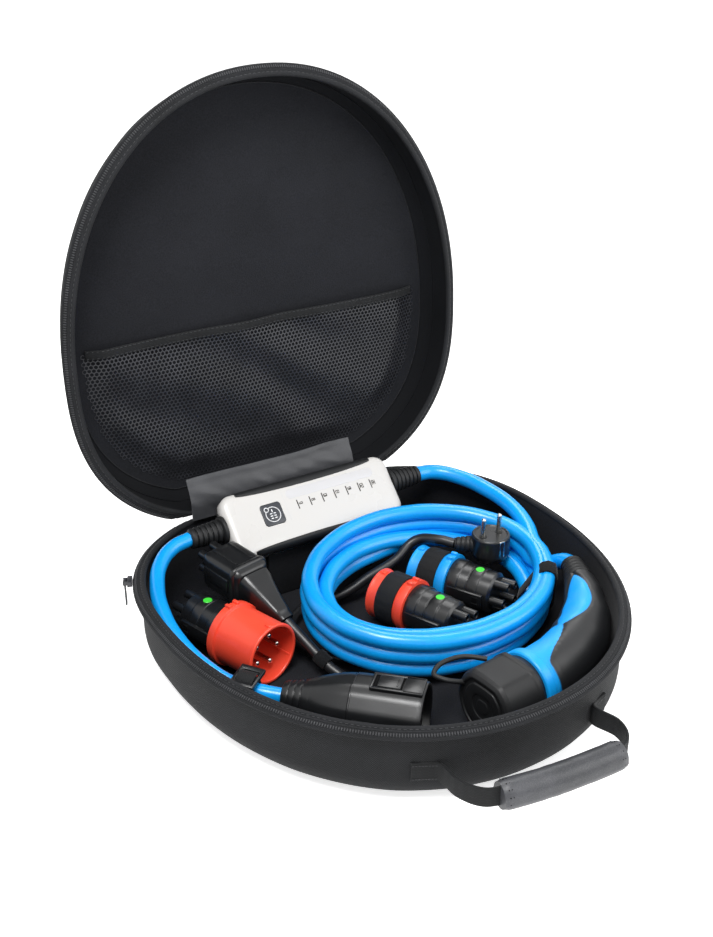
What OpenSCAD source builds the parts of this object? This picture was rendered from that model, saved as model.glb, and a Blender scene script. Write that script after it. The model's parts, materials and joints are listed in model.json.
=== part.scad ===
// Portable vehicle charger in its round carry case: a zip case with a hinged lid, a control box, the
// coiled vehicle cable with its connector, the supply coupler and four mains adapters.
// Millimetres, +Z up. The origin is the centre of the flat underside, the hinge runs along X at the back.

/* [Case] */
// Width of the case over its rims
case_w = 416; // [390:1:440]
// Depth of the rounded front, measured from the widest line
front_d = 250; // [235:1:265]
// Depth of the rounded back before the straight hinge edge
back_d = 179; // [172:1:190]
// Distance of the widest line behind the origin
wide_y = 42; // [35:1:50]
// Distance of the straight hinge edge behind the origin
hinge_y = 207; // [203:1:212]
// Height of the lower shell with its rim
base_h = 76; // [72:1:84]
// Height of the lid with its rim
lid_h = 50; // [47:1:60]
// Wall of both shells
shell_t = 4; // [3:0.5:6]
// Radius of the lower shell's bottom edge
base_r = 28; // [20:1:34]
// Radius of the lid's top edge
lid_r = 26; // [18:1:30]
// Height of the bound edge of each shell
rim_h = 3; // [2:0.5:5]
// How far the zip tape stands out from the shell
tape_w = 6; // [4:0.5:9]
// Gap between the two rims when the case is shut
zip_gap = 0.6; // [0.4:0.1:2]
// Angle of the open lid
lid_open = 92.85; // [80:0.05:95]
// Padding that lines the lid
panel_t = 2.5; // [1.5:0.5:4]
// Depth of the net pocket
pocket_d = 8; // [6:0.5:10]
// Net of the pocket
net_t = 1.2; // [0.8:0.1:2]
// Distance of the pocket's open edge from the hinge
pocket_h = 168; // [120:1:190]

/* [Handle] */
// Width of the webbing
strap_w = 18; // [14:1:20]
// Thickness of the webbing
strap_t = 2.5; // [2:0.5:3]
// Height of the handle's middle
handle_z = 35; // [30:1:42]
// Radius of the grip sleeve
grip_r = 12.5; // [11.5:0.5:14]

/* [Control box] */
// Length of the control box
box_l = 188; // [176:1:192]
// Width of its face
box_w = 66; // [60:1:67]
// Depth of the box
box_d = 40; // [36:1:42]
// Depth of the white cover
cover_d = 16; // [14:0.5:18]
// Wall of cover and back
box_wall = 2.5; // [2:0.25:3]
// Corner radius seen on the face
box_r = 13; // [10:0.5:16]
// Lean of the face from flat
box_tilt = 44; // [38:1:46]
// Side of the square key
key_s = 22; // [18:0.5:24]
// Travel of the key
key_travel = 0.8; // [0.4:0.1:1.2]
// Running gap around keys and latches
key_gap = 0.3; // [0.2:0.05:0.5]
// Length of a cable gland
gland_l = 36; // [30:1:38]

/* [Cables] */
// Diameter of the vehicle cable
vehicle_dia = 16; // [15:0.5:17]
// Diameter of the supply cable
supply_dia = 14; // [12:0.5:15]
// Diameter of the mains lead
lead_dia = 9.6; // [8:0.2:10]
// Half the coil's width, to the middle of its outer turn
coil_rx = 118; // [114:1:120]
// Half the coil's depth, to the middle of its outer turn
coil_ry = 96; // [93:1:97]
// Turns stacked in the outer row
coil_layers = 3; // [3:1:4]
// Rise of one turn over the next
coil_pitch = 14.7; // [14:0.1:15]

/* [Coupler and connector] */
// Radius of the coupler's housing
coupler_r = 30; // [28:0.5:31]
// Length of the coupler's housing
coupler_l = 60; // [55:1:64]
// Length of the tapered rear part
coupler_rear_l = 62; // [56:1:66]
// Travel of the coupler's latch
latch_travel = 1.5; // [1:0.1:2]
// Radius of the vehicle connector's front
head_r = 28; // [26:0.5:28.5]
// Radius of the dust cap
cap_r = 33; // [31:0.5:34]
// Length of the dust cap
cap_l = 42; // [38:1:46]
// Gap between the dust cap and the connector
cap_gap = 0.3; // [0.2:0.1:0.6]

/* [Adapters] */
// Radius of the large adapter's sleeve
cee_r = 28; // [26:0.5:29]
// Length of the large adapter's sleeve
cee_sleeve_l = 54; // [48:1:56]
// Radius of the two small adapters' sleeves
small_r = 23.5; // [22:0.5:24]
// Length of the small adapters' sleeves
small_sleeve_l = 42; // [38:1:44]
// Wall of every sleeve
sleeve_t = 2.5; // [2:0.25:3.5]
// How far a sleeve's flange stands out
flange_w = 2; // [1.5:0.5:3]
// Radius of the mains plug
plug_r = 19; // [17.5:0.5:19]
// Height of the mains plug under its pins
plug_h = 26; // [22:1:26]
// Length of the mains pins
pin_l = 19; // [17:0.5:19]
// Distance between the mains pins
pin_pitch = 19; // [18:0.5:20]
// Diameter of a mains pin
pin_dia = 4.8; // [4:0.1:5]

/* [Hidden] */

black = "#1b1c1f";
fabric = "#26272b";
cable_blue = "#1f8fe0";
signal_red = "#e2392c";
cover_white = "#f1efec";
metal = "#c3c6c9";

// Outline of the case: two half superellipses with a straight hinge edge
rim_n = 64;
front_exp = 2.115;
back_exp = 2.555;
rim_inset = 1;
floor_z = shell_t;
edge_z = base_h - rim_h;
hinge_z = base_h + zip_gap / 2;
lid_z = base_h + zip_gap;
lid_top = lid_z + lid_h;
ceiling_z = lid_top - shell_t;
panel_z = ceiling_z - panel_t;
pocket_y = hinge_y - pocket_h;
edge_steps = 5;

function spow(v, e) = sign(v) * pow(abs(v), e);
function rim_point(a, d) =
    let (front = sin(a) < 0,
         e = 2 / (front ? front_exp : back_exp),
         depth = (front ? front_d : back_d) - d)
    [(case_w / 2 - d) * spow(cos(a), e), min(wide_y + depth * spow(sin(a), e), hinge_y - d)];
function rim_step(i, d) = rim_point(360 * i / rim_n, d);
function rim_ring(d, z) = [for (i = [0 : rim_n - 1]) [each rim_step(i, d), z]];

// Quarter-round edge of a shell, from the wall to the flat, as pairs of inset and height
function round_edge(d, z, r, up) =
    [for (k = [0 : edge_steps]) let (a = 90 * k / edge_steps) [d + r * (1 - cos(a)), z + up * r * sin(a)]];
function backwards(list) = [for (i = [len(list) - 1 : -1 : 0]) list[i]];

// Faces between two neighbouring rings of n points that start at index a and b
function band(a, b, n) =
    [for (i = [0 : n - 1], k = [0, 1]) let (j = (i + 1) % n)
        k == 0 ? [a + i, b + i, b + j] : [a + i, b + j, a + j]];

module loft(profile) {
    m = len(profile);
    polyhedron(
        [for (p = profile) each rim_ring(p[0], p[1])],
        concat([[for (i = [0 : rim_n - 1]) i]],
               [for (k = [0 : m - 2]) each band(k * rim_n, (k + 1) * rim_n, rim_n)],
               [[for (i = [rim_n - 1 : -1 : 0]) (m - 1) * rim_n + i]]),
        convexity = 4);
}

module loop(section) {
    m = len(section);
    polyhedron(
        [for (p = section) each rim_ring(p[0], p[1])],
        [for (k = [0 : m - 1]) each band(k * rim_n, ((k + 1) % m) * rim_n, rim_n)],
        convexity = 6);
}

// Flat plate with the case's outline
module plate(d, z0, z1) loft([[d, z0], [d, z1]]);

module in_lid() {
    translate([0, hinge_y, hinge_z]) rotate([-lid_open, 0, 0]) translate([0, -hinge_y, -hinge_z]) children();
}

// Places the local Z axis on the line from p towards q; local -X then points up
module along(p, q) {
    v = q - p;
    translate(p) rotate([0, atan2(norm([v[0], v[1]]), v[2]), atan2(v[1], v[0])]) children();
}

// Round tube swept through points, each with its own radius
function unit(v) = v / norm(v);
function tangent(pts, i) = unit(pts[min(i + 1, len(pts) - 1)] - pts[max(i - 1, 0)]);
function side_of(t) = unit(cross(t, [0, 0, 1]));
function ring_at(p, t, r, n) =
    let (u = side_of(t), v = cross(u, t))
    [for (k = [0 : n - 1]) p + r * (cos(360 * k / n) * u + sin(360 * k / n) * v)];
function spline_point(pts, i, t) =
    let (a = pts[max(i - 1, 0)], b = pts[i], c = pts[i + 1], d = pts[min(i + 2, len(pts) - 1)])
    0.5 * (2 * b + (c - a) * t + (2 * a - 5 * b + 4 * c - d) * t * t + (3 * b - 3 * c + d - a) * t * t * t);
function smooth(pts) =
    [for (i = [0 : len(pts) - 2], t = [0, 0.5]) spline_point(pts, i, t), pts[len(pts) - 1]];

module sweep(pts, radii, n = 10) {
    m = len(pts);
    polyhedron(
        [for (i = [0 : m - 1]) each ring_at(pts[i], tangent(pts, i), radii[i], n)],
        concat([[for (k = [n - 1 : -1 : 0]) k]],
               [for (i = [0 : m - 2]) each [for (f = band(i * n, (i + 1) * n, n)) backwards(f)]],
               [[for (k = [0 : n - 1]) (m - 1) * n + k]]),
        convexity = 8);
}

module tube(pts, r, n = 10) {
    path = smooth(pts);
    sweep(path, [for (p = path) r], n);
}

// Rectangle with round corners, made of exact arcs
module round_rect(l, w, r) {
    square([l - 2 * r, w], center = true);
    square([l, w - 2 * r], center = true);
    for (x = [-1, 1], y = [-1, 1]) translate([x * (l / 2 - r), y * (w / 2 - r)]) circle(r = r, $fn = 40);
}

module slab(l, w, r, z0, z1) translate([0, 0, z0]) linear_extrude(z1 - z0) round_rect(l, w, r);

// Case: shells, bound rims with zip tape, lining and net pocket
base_profile = concat(
    backwards(round_edge(rim_inset, base_r, base_r, -1)), [[rim_inset, edge_z]]);
base_hollow = concat(
    backwards(round_edge(rim_inset + shell_t, base_r, base_r - shell_t, -1)),
    [[rim_inset + shell_t, base_h]]);
lid_profile = concat(
    [[rim_inset, lid_z + rim_h]], round_edge(rim_inset, lid_top - lid_r, lid_r, 1));
lid_hollow = concat(
    [[rim_inset + shell_t, lid_z]], round_edge(rim_inset + shell_t, lid_top - lid_r, lid_r - shell_t, 1));
tape_drop = tape_w + 1.5;
rim_section = [
    [rim_inset, edge_z], [1 - tape_w, base_h - tape_drop], [-tape_w, base_h - tape_drop + 1],
    [0.6 - tape_w, base_h - tape_drop + 2.3], [0, base_h - 1.2], [1.2, base_h],
    [rim_inset + shell_t - 0.5, base_h], [rim_inset + shell_t + 1, base_h - 1],
    [rim_inset + shell_t + 1, edge_z]];
lid_section = backwards([for (p = rim_section) [p[0], 2 * hinge_z - p[1]]]);
panel_inset = rim_inset + lid_r + 1;

module base_shell() color(fabric) difference() {
    loft(base_profile);
    loft(base_hollow);
}

// The tape ends where the straight hinge edge starts
module rim(section) difference() {
    loop(section);
    translate([-case_w / 2, hinge_y - rim_inset, 0]) cube([case_w, 4 * tape_w, 2 * base_h]);
}

module base_rim() color(black) rim(rim_section);

module lid_shell() color(fabric) in_lid() difference() {
    loft(lid_profile);
    loft(lid_hollow);
}

module lid_rim() color(black) in_lid() rim(lid_section);

module lid_panel() color(fabric) in_lid() plate(panel_inset, panel_z, ceiling_z);

// Half of the lid on the hinge side of the pocket's open edge
module pocket_side(from_y) translate([-case_w / 2, from_y, 0]) cube([case_w, front_d, 2 * lid_top]);

module mesh_pocket() color(black) in_lid() intersection() {
    difference() {
        loft([[panel_inset + pocket_d, panel_z - pocket_d], [panel_inset + 1, panel_z]]);
        loft([[panel_inset + pocket_d + net_t, panel_z - pocket_d + net_t],
              [panel_inset + 1 + 2 * net_t, panel_z + net_t]]);
    }
    pocket_side(pocket_y);
}

hem_w = 9;
module pocket_hem() color(black) in_lid() intersection() {
    difference() {
        loft([[panel_inset + pocket_d - 0.6, panel_z - pocket_d - 0.6], [panel_inset + 1, panel_z]]);
        loft([[panel_inset + pocket_d + net_t, panel_z - pocket_d + net_t],
              [panel_inset + 1 + 2 * net_t, panel_z + net_t]]);
    }
    translate([-case_w / 2, pocket_y - hem_w, 0]) cube([case_w, hem_w, 2 * lid_top]);
}

// Fabric hinge: a strip outside and a nylon flap inside
strip_t = 1.2;
strip_l = 196;
module hinge_strip() color(black) translate([-strip_l / 2, 0, 0]) rotate([90, 0, 90]) linear_extrude(strip_l)
    let (y = hinge_y - rim_inset, z = hinge_z - 1)
    polygon([[y, z - 24], [y + strip_t, z - 24], [y + strip_t, z - 2.4], [y + strip_t + 1, z - strip_t],
             [y + 32, z - strip_t], [y + 32, z], [y + 1.4, z], [y, z - 1.2]]);

flap_x = -108;
flap_l = 184;
flap_h = 41;
module hinge_flap() color(fabric) translate([flap_x, 0, 0]) rotate([90, 0, 90]) linear_extrude(flap_l)
    let (y = hinge_y - rim_inset - shell_t, z = base_h)
    polygon([[y, z], [y + 3.5, z], [y + 3.5, z + 1.2], [y + 2, z + 1.8], [y + 10, z + flap_h],
             [y + 8.6, z + flap_h + 0.4], [y + 0.4, z + 2], [y, z + 1.2]]);

// Zip slider on the lower tape, near the end of the zip, with its hanging pull
slider_i = 27;
slider_p = (rim_step(slider_i, -tape_w) + rim_step(slider_i + 1, -tape_w)) / 2;
slider_v = rim_step(slider_i + 1, -tape_w) - rim_step(slider_i, -tape_w);
slider_a = atan2(slider_v[1], slider_v[0]);
slider_z = base_h - tape_drop + 1;
slider_gap = 0.4;
slider_w = 4.4;
slider_h = 5;
bail_r = 0.9;
eye_r = 1.9;
bail_y = -slider_gap - slider_w - eye_r - 0.5;
module at_slider() translate([slider_p[0], slider_p[1], slider_z]) rotate([0, 0, slider_a]) children();

module zip_slider() color(metal) at_slider() {
    translate([-6, -slider_gap - slider_w, -slider_h / 2]) cube([12, slider_w, slider_h]);
    for (x = [-4.2, 3]) translate([x, bail_y - 1.6, -1.8]) cube([1.2, -slider_gap - 1 - bail_y + 1.6, 3.6]);
    translate([-4.2, bail_y, 0]) rotate([0, 90, 0]) cylinder(r = bail_r, h = 8.4, $fn = 24);
}

module zip_pull() color(metal) at_slider() translate([0, bail_y, 0]) difference() {
    union() {
        translate([-2.4, 0, 0]) rotate([0, 90, 0]) cylinder(r = eye_r, h = 4.8, $fn = 24);
        translate([-2.4, -0.8, -24]) cube([4.8, 1.6, 23]);
    }
    translate([-3, 0, 0]) rotate([0, 90, 0]) cylinder(r = bail_r + 0.05, h = 6, $fn = 24);
    translate([0, 0, -19.5]) rotate([90, 0, 0]) cylinder(r = 1.3, h = 4, center = true, $fn = 24);
}

// Carry handle: webbing sewn to the front wall and a leather sleeve around it
tab_l = [43, 44];
tab_r = [51, 52];
grip_from = [-60, -237];
grip_to = [50, -248];
strap_route = concat(
    [for (i = tab_l) rim_step(i, rim_inset - strap_t / 2)], [[-82, -212], [-74, -229]],
    [grip_from, grip_to], [[64, -240], [70, -222]],
    [for (i = tab_r) rim_step(i, rim_inset - strap_t / 2)]);
function normal_at(pts, i) =
    let (t = unit(pts[min(i + 1, len(pts) - 1)] - pts[max(i - 1, 0)])) [-t[1], t[0]];

module strap_outline() {
    outer = concat([for (i = tab_l) rim_step(i, rim_inset - strap_t)],
                   [for (i = [2 : 7]) strap_route[i] - strap_t / 2 * normal_at(strap_route, i)],
                   [for (i = tab_r) rim_step(i, rim_inset - strap_t)]);
    inner = concat([for (i = tab_l) rim_step(i, rim_inset)],
                   [for (i = [2 : 7]) strap_route[i] + strap_t / 2 * normal_at(strap_route, i)],
                   [for (i = tab_r) rim_step(i, rim_inset)]);
    polygon(concat(outer, backwards(inner)));
}

module handle_strap() color(black)
    translate([0, 0, handle_z - strap_w / 2]) linear_extrude(strap_w) strap_outline();

module handle_grip() color("#45474b") difference() {
    along([grip_from[0], grip_from[1], handle_z], [grip_to[0], grip_to[1], handle_z])
        cylinder(r = grip_r, h = norm(grip_to - grip_from), $fn = 36);
    translate([0, 0, handle_z - strap_w / 2]) linear_extrude(strap_w) strap_outline();
}

// Control box, built on its face: X along the box, Z out of the face
box_at = [2, 150, floor_z + 83];
seal_t = 1;
back_taper = 7;
back_z = -cover_d - seal_t;
board_l = 150;
board_w = 40;
board_t = 1.6;
board_z = back_z - 6;
key_x = -46;
key_y = 2;
key_h = 3;
module in_box() translate(box_at) rotate([box_tilt, 0, 0]) children();

module cover_solid() hull() {
    slab(box_l, box_w, box_r, -cover_d, -6);
    slab(box_l - 3, box_w - 3, box_r - 1.5, -6, -2.2);
    slab(box_l - 11, box_w - 11, box_r - 5.5, -1, 0);
}

module cover_hollow() slab(box_l - 2 * box_wall, box_w - 2 * box_wall, box_r - box_wall, -cover_d - 1, -3.5);

// Rubber strips along both long edges
trim_l = 150;
trim_w = 8;
trim_h = 9;
module trim_zone() for (s = [-1, 1])
    translate([-trim_l / 2, s * (box_w / 2 - trim_w / 2 + 1) - trim_w / 2, -trim_h])
        cube([trim_l, trim_w, trim_h + 1]);

window_x = 24;
window_y = 17;
window_l = 100;
window_w = 10;
module window_zone(gap) translate([window_x, window_y, 0])
    slab(window_l + 2 * gap, window_w + 2 * gap, 2, -1.2, 0.01);
module key_zone(gap) translate([key_x, key_y, 0])
    slab(key_s + 2 * gap, key_s + 2 * gap, 3, -8, 0.5);

module box_cover() color(cover_white) in_box() difference() {
    cover_solid();
    cover_hollow();
    trim_zone();
    window_zone(0);
    key_zone(key_gap);
}

module box_trim() color(black) in_box() difference() {
    intersection() {
        cover_solid();
        trim_zone();
    }
    cover_hollow();
}

module light_window() color("#dfe3ea") in_box() intersection() {
    window_zone(0);
    cover_solid();
}

// The key rides on four leaf legs that stand on the board
module power_key() color("#2f333c") in_box() translate([key_x, key_y, 0]) {
    slab(key_s, key_s, 3, -key_h, 0.4);
    slab(6, 6, 1, board_z + 1.2 + key_travel, -key_h);
}

module box_seal() color(black) in_box() difference() {
    slab(box_l, box_w, box_r, -cover_d - seal_t, -cover_d);
    slab(box_l - 2 * box_wall, box_w - 2 * box_wall, box_r - box_wall, -cover_d - 2, 1 - cover_d);
}

module back_solid(inset = 0, depth = box_d) hull() {
    slab(box_l - 2 * inset, box_w - 2 * inset, box_r - inset, back_z - 3, back_z);
    slab(box_l - 2 * inset - 2 * back_taper, box_w - 2 * inset - 2 * back_taper,
         box_r - inset, -depth, 1 - depth);
}

module board_posts(r, z0, z1) for (x = [-1, 1], y = [-1, 1])
    translate([x * (board_l / 2 - 8), y * (board_w / 2 - 6), z0]) cylinder(r = r, h = z1 - z0, $fn = 24);

module box_back() color(black) in_box() difference() {
    union() {
        difference() {
            back_solid();
            back_solid(box_wall, box_d - box_wall);
            slab(box_l - 2 * box_wall, box_w - 2 * box_wall, box_r - box_wall, back_z - 3, 1);
        }
        board_posts(3.5, 0.5 - box_d, board_z - board_t);
    }
    board_posts(1.35, board_z - board_t - 7, board_z);
}

module circuit_board() color("#1f6b3a") in_box() difference() {
    slab(board_l, board_w, 2, board_z - board_t, board_z);
    board_posts(1.6, board_z - 3, board_z + 1);
}

module relays() color("#30333a") in_box() {
    for (x = [-8, 18, 44]) translate([x, 6, 0]) slab(22, 18, 1, board_z, board_z + 14);
    translate([key_x, key_y, 0]) slab(7, 7, 1, board_z, board_z + 1.2);
}

module sensor_ring() color("#8a5a2b") in_box() translate([-18, -12, board_z + 4]) difference() {
    cylinder(r = 7, h = 8, center = true, $fn = 40);
    cylinder(r = 4, h = 9, center = true, $fn = 40);
}

module board_screws() color(metal) in_box() {
    board_posts(1.3, board_z - board_t - 6.5, board_z);
    board_posts(2.6, board_z, board_z + 1.6);
}

// Ribbed cable glands at both ends of the box
gland_r = 12;
gland_tip_r = 9.5;
gland_y = 4;
gland_z = -14;
ribs = 6;
function rib_profile(r0, r1, l, cut) =
    [for (k = [0 : ribs - 1], s = [0, 1, 2, 3])
        let (f = (k + [0.08, 0.6, 0.68, 1][s]) / ribs)
            [r0 + (r1 - r0) * f - (s == 0 || s == 1 ? 0 : cut), l * f]];
module ribbed(r0, r1, l, cut = 0.9) rotate_extrude($fn = 40)
    polygon(concat([[0, 0], [r0, 0]], rib_profile(r0, r1, l, cut), [[r1 - cut, l], [0, l]]));
module gland(s) in_box() translate([s * box_l / 2, gland_y, gland_z]) rotate([0, s * 90, 0])
    ribbed(gland_r, gland_tip_r, gland_l);

module left_gland() color(black) gland(-1);
module right_gland() color(black) gland(1);

// Foam cradle that carries the box
rest_l = 120;
module box_rest() color("#2c2d30") difference() {
    translate([box_at[0] - rest_l / 2, 0, 0]) rotate([90, 0, 90]) linear_extrude(rest_l)
        polygon([[137, floor_z], [170, floor_z], [184, floor_z + 14],
                 [184, floor_z + 54], [137, floor_z + 54]]);
    in_box() back_solid();
    in_box() slab(box_l, box_w, box_r, back_z - 0.01, 0);
}

// Middle lines of the cables
supply_start = [-128, 163, 80];
supply_route = [supply_start, [-146, 160, 78], [-165, 147, 73], [-180, 122, 66], [-189, 90, 59],
    [-191, 54, 52], [-185, 18, 45], [-171, -12, 38], [-155, -32, 36.5], [-141, -45, 35]];
vehicle_route = [[132, 163, 80], [150, 160, 79], [169, 140, 77], [181, 106, 74], [185, 70, 70],
    [180, 38, 64.5], [170, 14, 60]];
connector_route = [[168, 2, 44], [174, -12, 49], [177, -24, 56], [176, -36, 60]];
lead_route = [[-91, 40, 44], [-85, 22, 34], [-79, 4, 24], [-72, -14, 15], [-62, -30, 10.5], [-48, -42, 10.5],
    [-30, -46, 10.5], [-16, -36, 10.5], [-18, -18, 10.5], [-36, -6, 10.5], [-56, 6, 10.5], [-72, 26, 10.5],
    [-77, 50, 11], [-69, 74, 12], [-50, 90, 13], [-26, 92, 14], [0, 88, 18], [28, 88, 28], [58, 87, 38],
    [82, 90, 51], [97, 71, 57], [107, 58, 56]];

module supply_cable() color(cable_blue) tube(supply_route, supply_dia / 2);
module vehicle_cable() color(cable_blue) tube(vehicle_route, vehicle_dia / 2);
module connector_cable() color(cable_blue) tube(connector_route, vehicle_dia / 2);
module lead_cable() color(black) tube(lead_route, lead_dia / 2, 8);

coil_at = [52, 24.5, floor_z + 19.4];
coil_tilt = 6.5;
coil_n = 36;
cable_r = vehicle_dia / 2;
coil_top = cable_r + (coil_layers - 1) * coil_pitch;
function arc(c, r, angles) = [for (a = angles) c + r * [cos(a), sin(a)]];

// Outer shape of the stacked turns, as offsets from the outer turn's middle line
coil_outline = concat(
    [for (k = [0 : coil_layers - 1]) each arc([0, cable_r + k * coil_pitch], cable_r, [-45, 0, 45])],
    arc([0, coil_top], cable_r, [90]),
    [for (k = [coil_layers - 1 : -1 : 1]) each arc([0, cable_r + k * coil_pitch], cable_r, [135, 180, 225])],
    arc([-coil_pitch, cable_r], cable_r, [70, 135, 180, 225, 270]),
    arc([0, cable_r], cable_r, [270]));

function coil_ring(s) =
    [for (i = [0 : coil_n - 1]) let (a = 360 * i / coil_n)
        [(coil_rx + s[0]) * cos(a), (coil_ry + s[0]) * sin(a), s[1]]];
module in_coil() translate(coil_at) rotate([coil_tilt, 0, 0]) children();

module cable_coil() color(cable_blue) in_coil() {
    m = len(coil_outline);
    polyhedron(
        [for (s = coil_outline) each coil_ring(s)],
        [for (k = [0 : m - 1]) each band(k * coil_n, ((k + 1) % m) * coil_n, coil_n)],
        convexity = 8);
}

// Hook-and-loop tie around the coil: a taut band over the stacked turns
tie_t = 1.5;
tie_gap = 0.8;
tie_from = -38;
tie_sweep = 9;
tie_lean = atan2(coil_top - cable_r, coil_pitch) + 90;
function tie_outline(r) = concat(
    arc([0, cable_r], r, [-90, -60, -30, 0]),
    arc([0, coil_top], r, [0, 45, 90, 125, tie_lean]),
    arc([-coil_pitch, cable_r], r, [tie_lean, 200, 235, 270]));

module tie_solid(r, from, sweep) {
    outline = tie_outline(r);
    n = len(outline);
    section = [for (k = [n - 1 : -1 : 0]) outline[k]];
    polyhedron(
        [for (i = [0, 1, 2]) let (a = from + sweep * i / 2)
            each [for (s = section) [(coil_rx + s[0]) * cos(a), (coil_ry + s[0]) * sin(a), s[1]]]],
        concat([[for (k = [0 : n - 1]) k]],
               [for (i = [0, 1]) each band(i * n, (i + 1) * n, n)],
               [[for (k = [n - 1 : -1 : 0]) 2 * n + k]]),
        convexity = 4);
}

module coil_tie() color(black) in_coil() difference() {
    tie_solid(cable_r + tie_gap + tie_t, tie_from, tie_sweep);
    tie_solid(cable_r + tie_gap, tie_from - 2, tie_sweep + 4);
}

module lead_strap() color(black) along([-79, 4, 24], [-72, -14, 15]) translate([0, 0, -1]) difference() {
    cylinder(r = lead_dia / 2 + 1.9, h = 13, $fn = 32);
    translate([0, 0, -1]) cylinder(r = lead_dia / 2 + 0.7, h = 15, $fn = 32);
}

// Webbing loop and bar buckle that hold the supply cable down
hold_p = [-163, -22, 37.3];
hold_q = [-155, -32, 36.5];
hold_r = supply_dia / 2 + 0.6;
module cable_strap() color(black) {
    along(hold_p, hold_q) translate([0, 0, -9]) difference() {
        union() {
            cylinder(r = hold_r + 1.8, h = 18, $fn = 40);
            translate([0, -1, 0]) cube([hold_p[2] - floor_z - 1.2, 2, 18]);
        }
        translate([0, 0, -1]) cylinder(r = hold_r, h = 20, $fn = 40);
    }
}

module strap_buckle() color(black) along(hold_p, hold_q) translate([-hold_r - 1.8, 0, 0]) difference() {
    translate([-4, -14, -11]) cube([4, 28, 22]);
    for (y = [-8.5, 2.5]) translate([-5, y, -8]) cube([6, 6, 16]);
}

// Supply coupler, lying on the floor
coupler_p = [-141, -45, floor_z + coupler_r + 1];
coupler_q = [-55, -132, floor_z + coupler_r + 1];
insert_t = 12;
insert_gap = 0.2;
latch_l = 18;
latch_w = 14;
latch_h = 7;
insert_z = coupler_rear_l + coupler_l - insert_t - 6;
latch_zc = insert_z - latch_l / 2 - 3;
pocket_floor = coupler_r - latch_h - latch_travel - 1;
module in_coupler() along(coupler_p, coupler_q) children();

module coupler_rear() color(black) in_coupler() rotate_extrude($fn = 56)
    polygon([[0, 0], [11, 0], [12.5, 2], [12.5, 6], [15, 7], [15, 11], [13.5, 12], [13.5, 14], [17.5, 15],
             [17.5, 20], [16, 21], [16, 23], [20, 26], [25, 44],
             [27, coupler_rear_l - 4], [27, coupler_rear_l],
             [0, coupler_rear_l]]);

module coupler_body() color(black) in_coupler() difference() {
    union() {
        translate([0, 0, coupler_rear_l]) cylinder(r = coupler_r, h = coupler_l, $fn = 56);
        for (y = [-1, 1]) translate([-6, y > 0 ? coupler_r - 5 : -coupler_r - 1, coupler_rear_l + 6])
            cube([12, 6, coupler_l - 6]);
    }
    translate([0, 0, insert_z]) cylinder(r = coupler_r - 3, h = insert_t + 7, $fn = 56);
    translate([-coupler_r - 1, -latch_w / 2 - key_gap, latch_zc - latch_l / 2 - key_gap])
        cube([coupler_r + 1 - pocket_floor, latch_w + 2 * key_gap, latch_l + 2 * key_gap]);
    for (y = [-1, 1], z = [0.4, 0.85]) translate([0, y * (coupler_r + 2), coupler_rear_l + z * coupler_l])
        rotate([90, 0, 0]) cylinder(r = 1.6, h = 8, center = true, $fn = 24);
}

module coupler_insert() color("#26282c") in_coupler() translate([0, 0, insert_z]) difference() {
    cylinder(r = coupler_r - 3 - insert_gap, h = insert_t, $fn = 56);
    for (a = [0 : 60 : 300]) rotate([0, 0, a]) translate([14, 0, 3]) cylinder(r = 3.2, h = insert_t, $fn = 24);
    translate([0, 0, 3]) cylinder(r = 3.2, h = insert_t, $fn = 24);
}

module coupler_latch() color(black) in_coupler()
    translate([-coupler_r - 0.6, -latch_w / 2, latch_zc - latch_l / 2]) difference() {
    cube([latch_h + 0.6, latch_w, latch_l]);
    for (z = [4, 8, 12]) translate([-0.1, -1, z]) cube([0.7, latch_w + 2, 2]);
}

// Vehicle connector: boot, swept body with a soft grip, round front and dust cap
boot_p = [176, -36, 60];
boot_q = [166, -60, 56];
body_route = [[166, -60, 56], [154, -82, 52], [137, -103, 47], [116, -119, 42.5],
    [91, -130, 39], [66, -136.5, 37.4],
    [46, -140, 37]];
body_radii = [14, 18, 22.5, 25.5, 26.5, 27.5, 29];
head_p = [46, -140, floor_z + cap_r];
head_q = [-26, -148, floor_z + cap_r];
head_l = 46;
module connector_boot() color(black) along(boot_p, boot_q) ribbed(10.5, 14, norm(boot_q - boot_p), 0.9);

function smooth_radii(r) =
    [for (i = [0 : len(r) - 2], t = [0, 0.5]) r[i] + (r[i + 1] - r[i]) * t, r[len(r) - 1]];
module connector_core(extra = 0) {
    path = smooth(body_route);
    sweep(path, [for (r = smooth_radii(body_radii)) r + extra], 20);
}
module connector_body() color(cable_blue) {
    connector_core();
    along(head_p, head_q) translate([0, 0, 0.2]) cylinder(r = 31, h = 8, $fn = 56);
}

grip_t = 2;
grip_over = 14;
module connector_grip() color(black) difference() {
    intersection() {
        connector_core(grip_t);
        translate([166, -60, 0]) rotate([0, 0, -142]) translate([12, grip_over, 0]) cube([92, 60, 120]);
    }
    connector_core();
}

module connector_head() color(black) along(head_p, head_q) translate([0, 0, 8.2]) difference() {
    cylinder(r = head_r, h = head_l - 8, $fn = 56);
    for (a = [30, 90, 150, 210, 330]) rotate([0, 0, a]) translate([15, 0, 8])
        cylinder(r = 4, h = head_l, $fn = 24);
    translate([0, 0, 8]) cylinder(r = 4, h = head_l, $fn = 24);
}

module dust_cap() color(black) along(head_p, head_q) translate([0, 0, 14]) difference() {
    union() {
        cylinder(r = cap_r, h = cap_l - 3, $fn = 64);
        cylinder(r = cap_r - 3, h = cap_l, $fn = 64);
    }
    translate([0, 0, -1]) cylinder(r = head_r + cap_gap, h = head_l - 14 + 1.5, $fn = 64);
    translate([0, 0, cap_l - 1]) difference() {
        cylinder(r = cap_r - 6, h = 2, $fn = 64);
        translate([0, 0, -1]) cylinder(r = cap_r - 11, h = 4, $fn = 64);
    }
}

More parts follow.
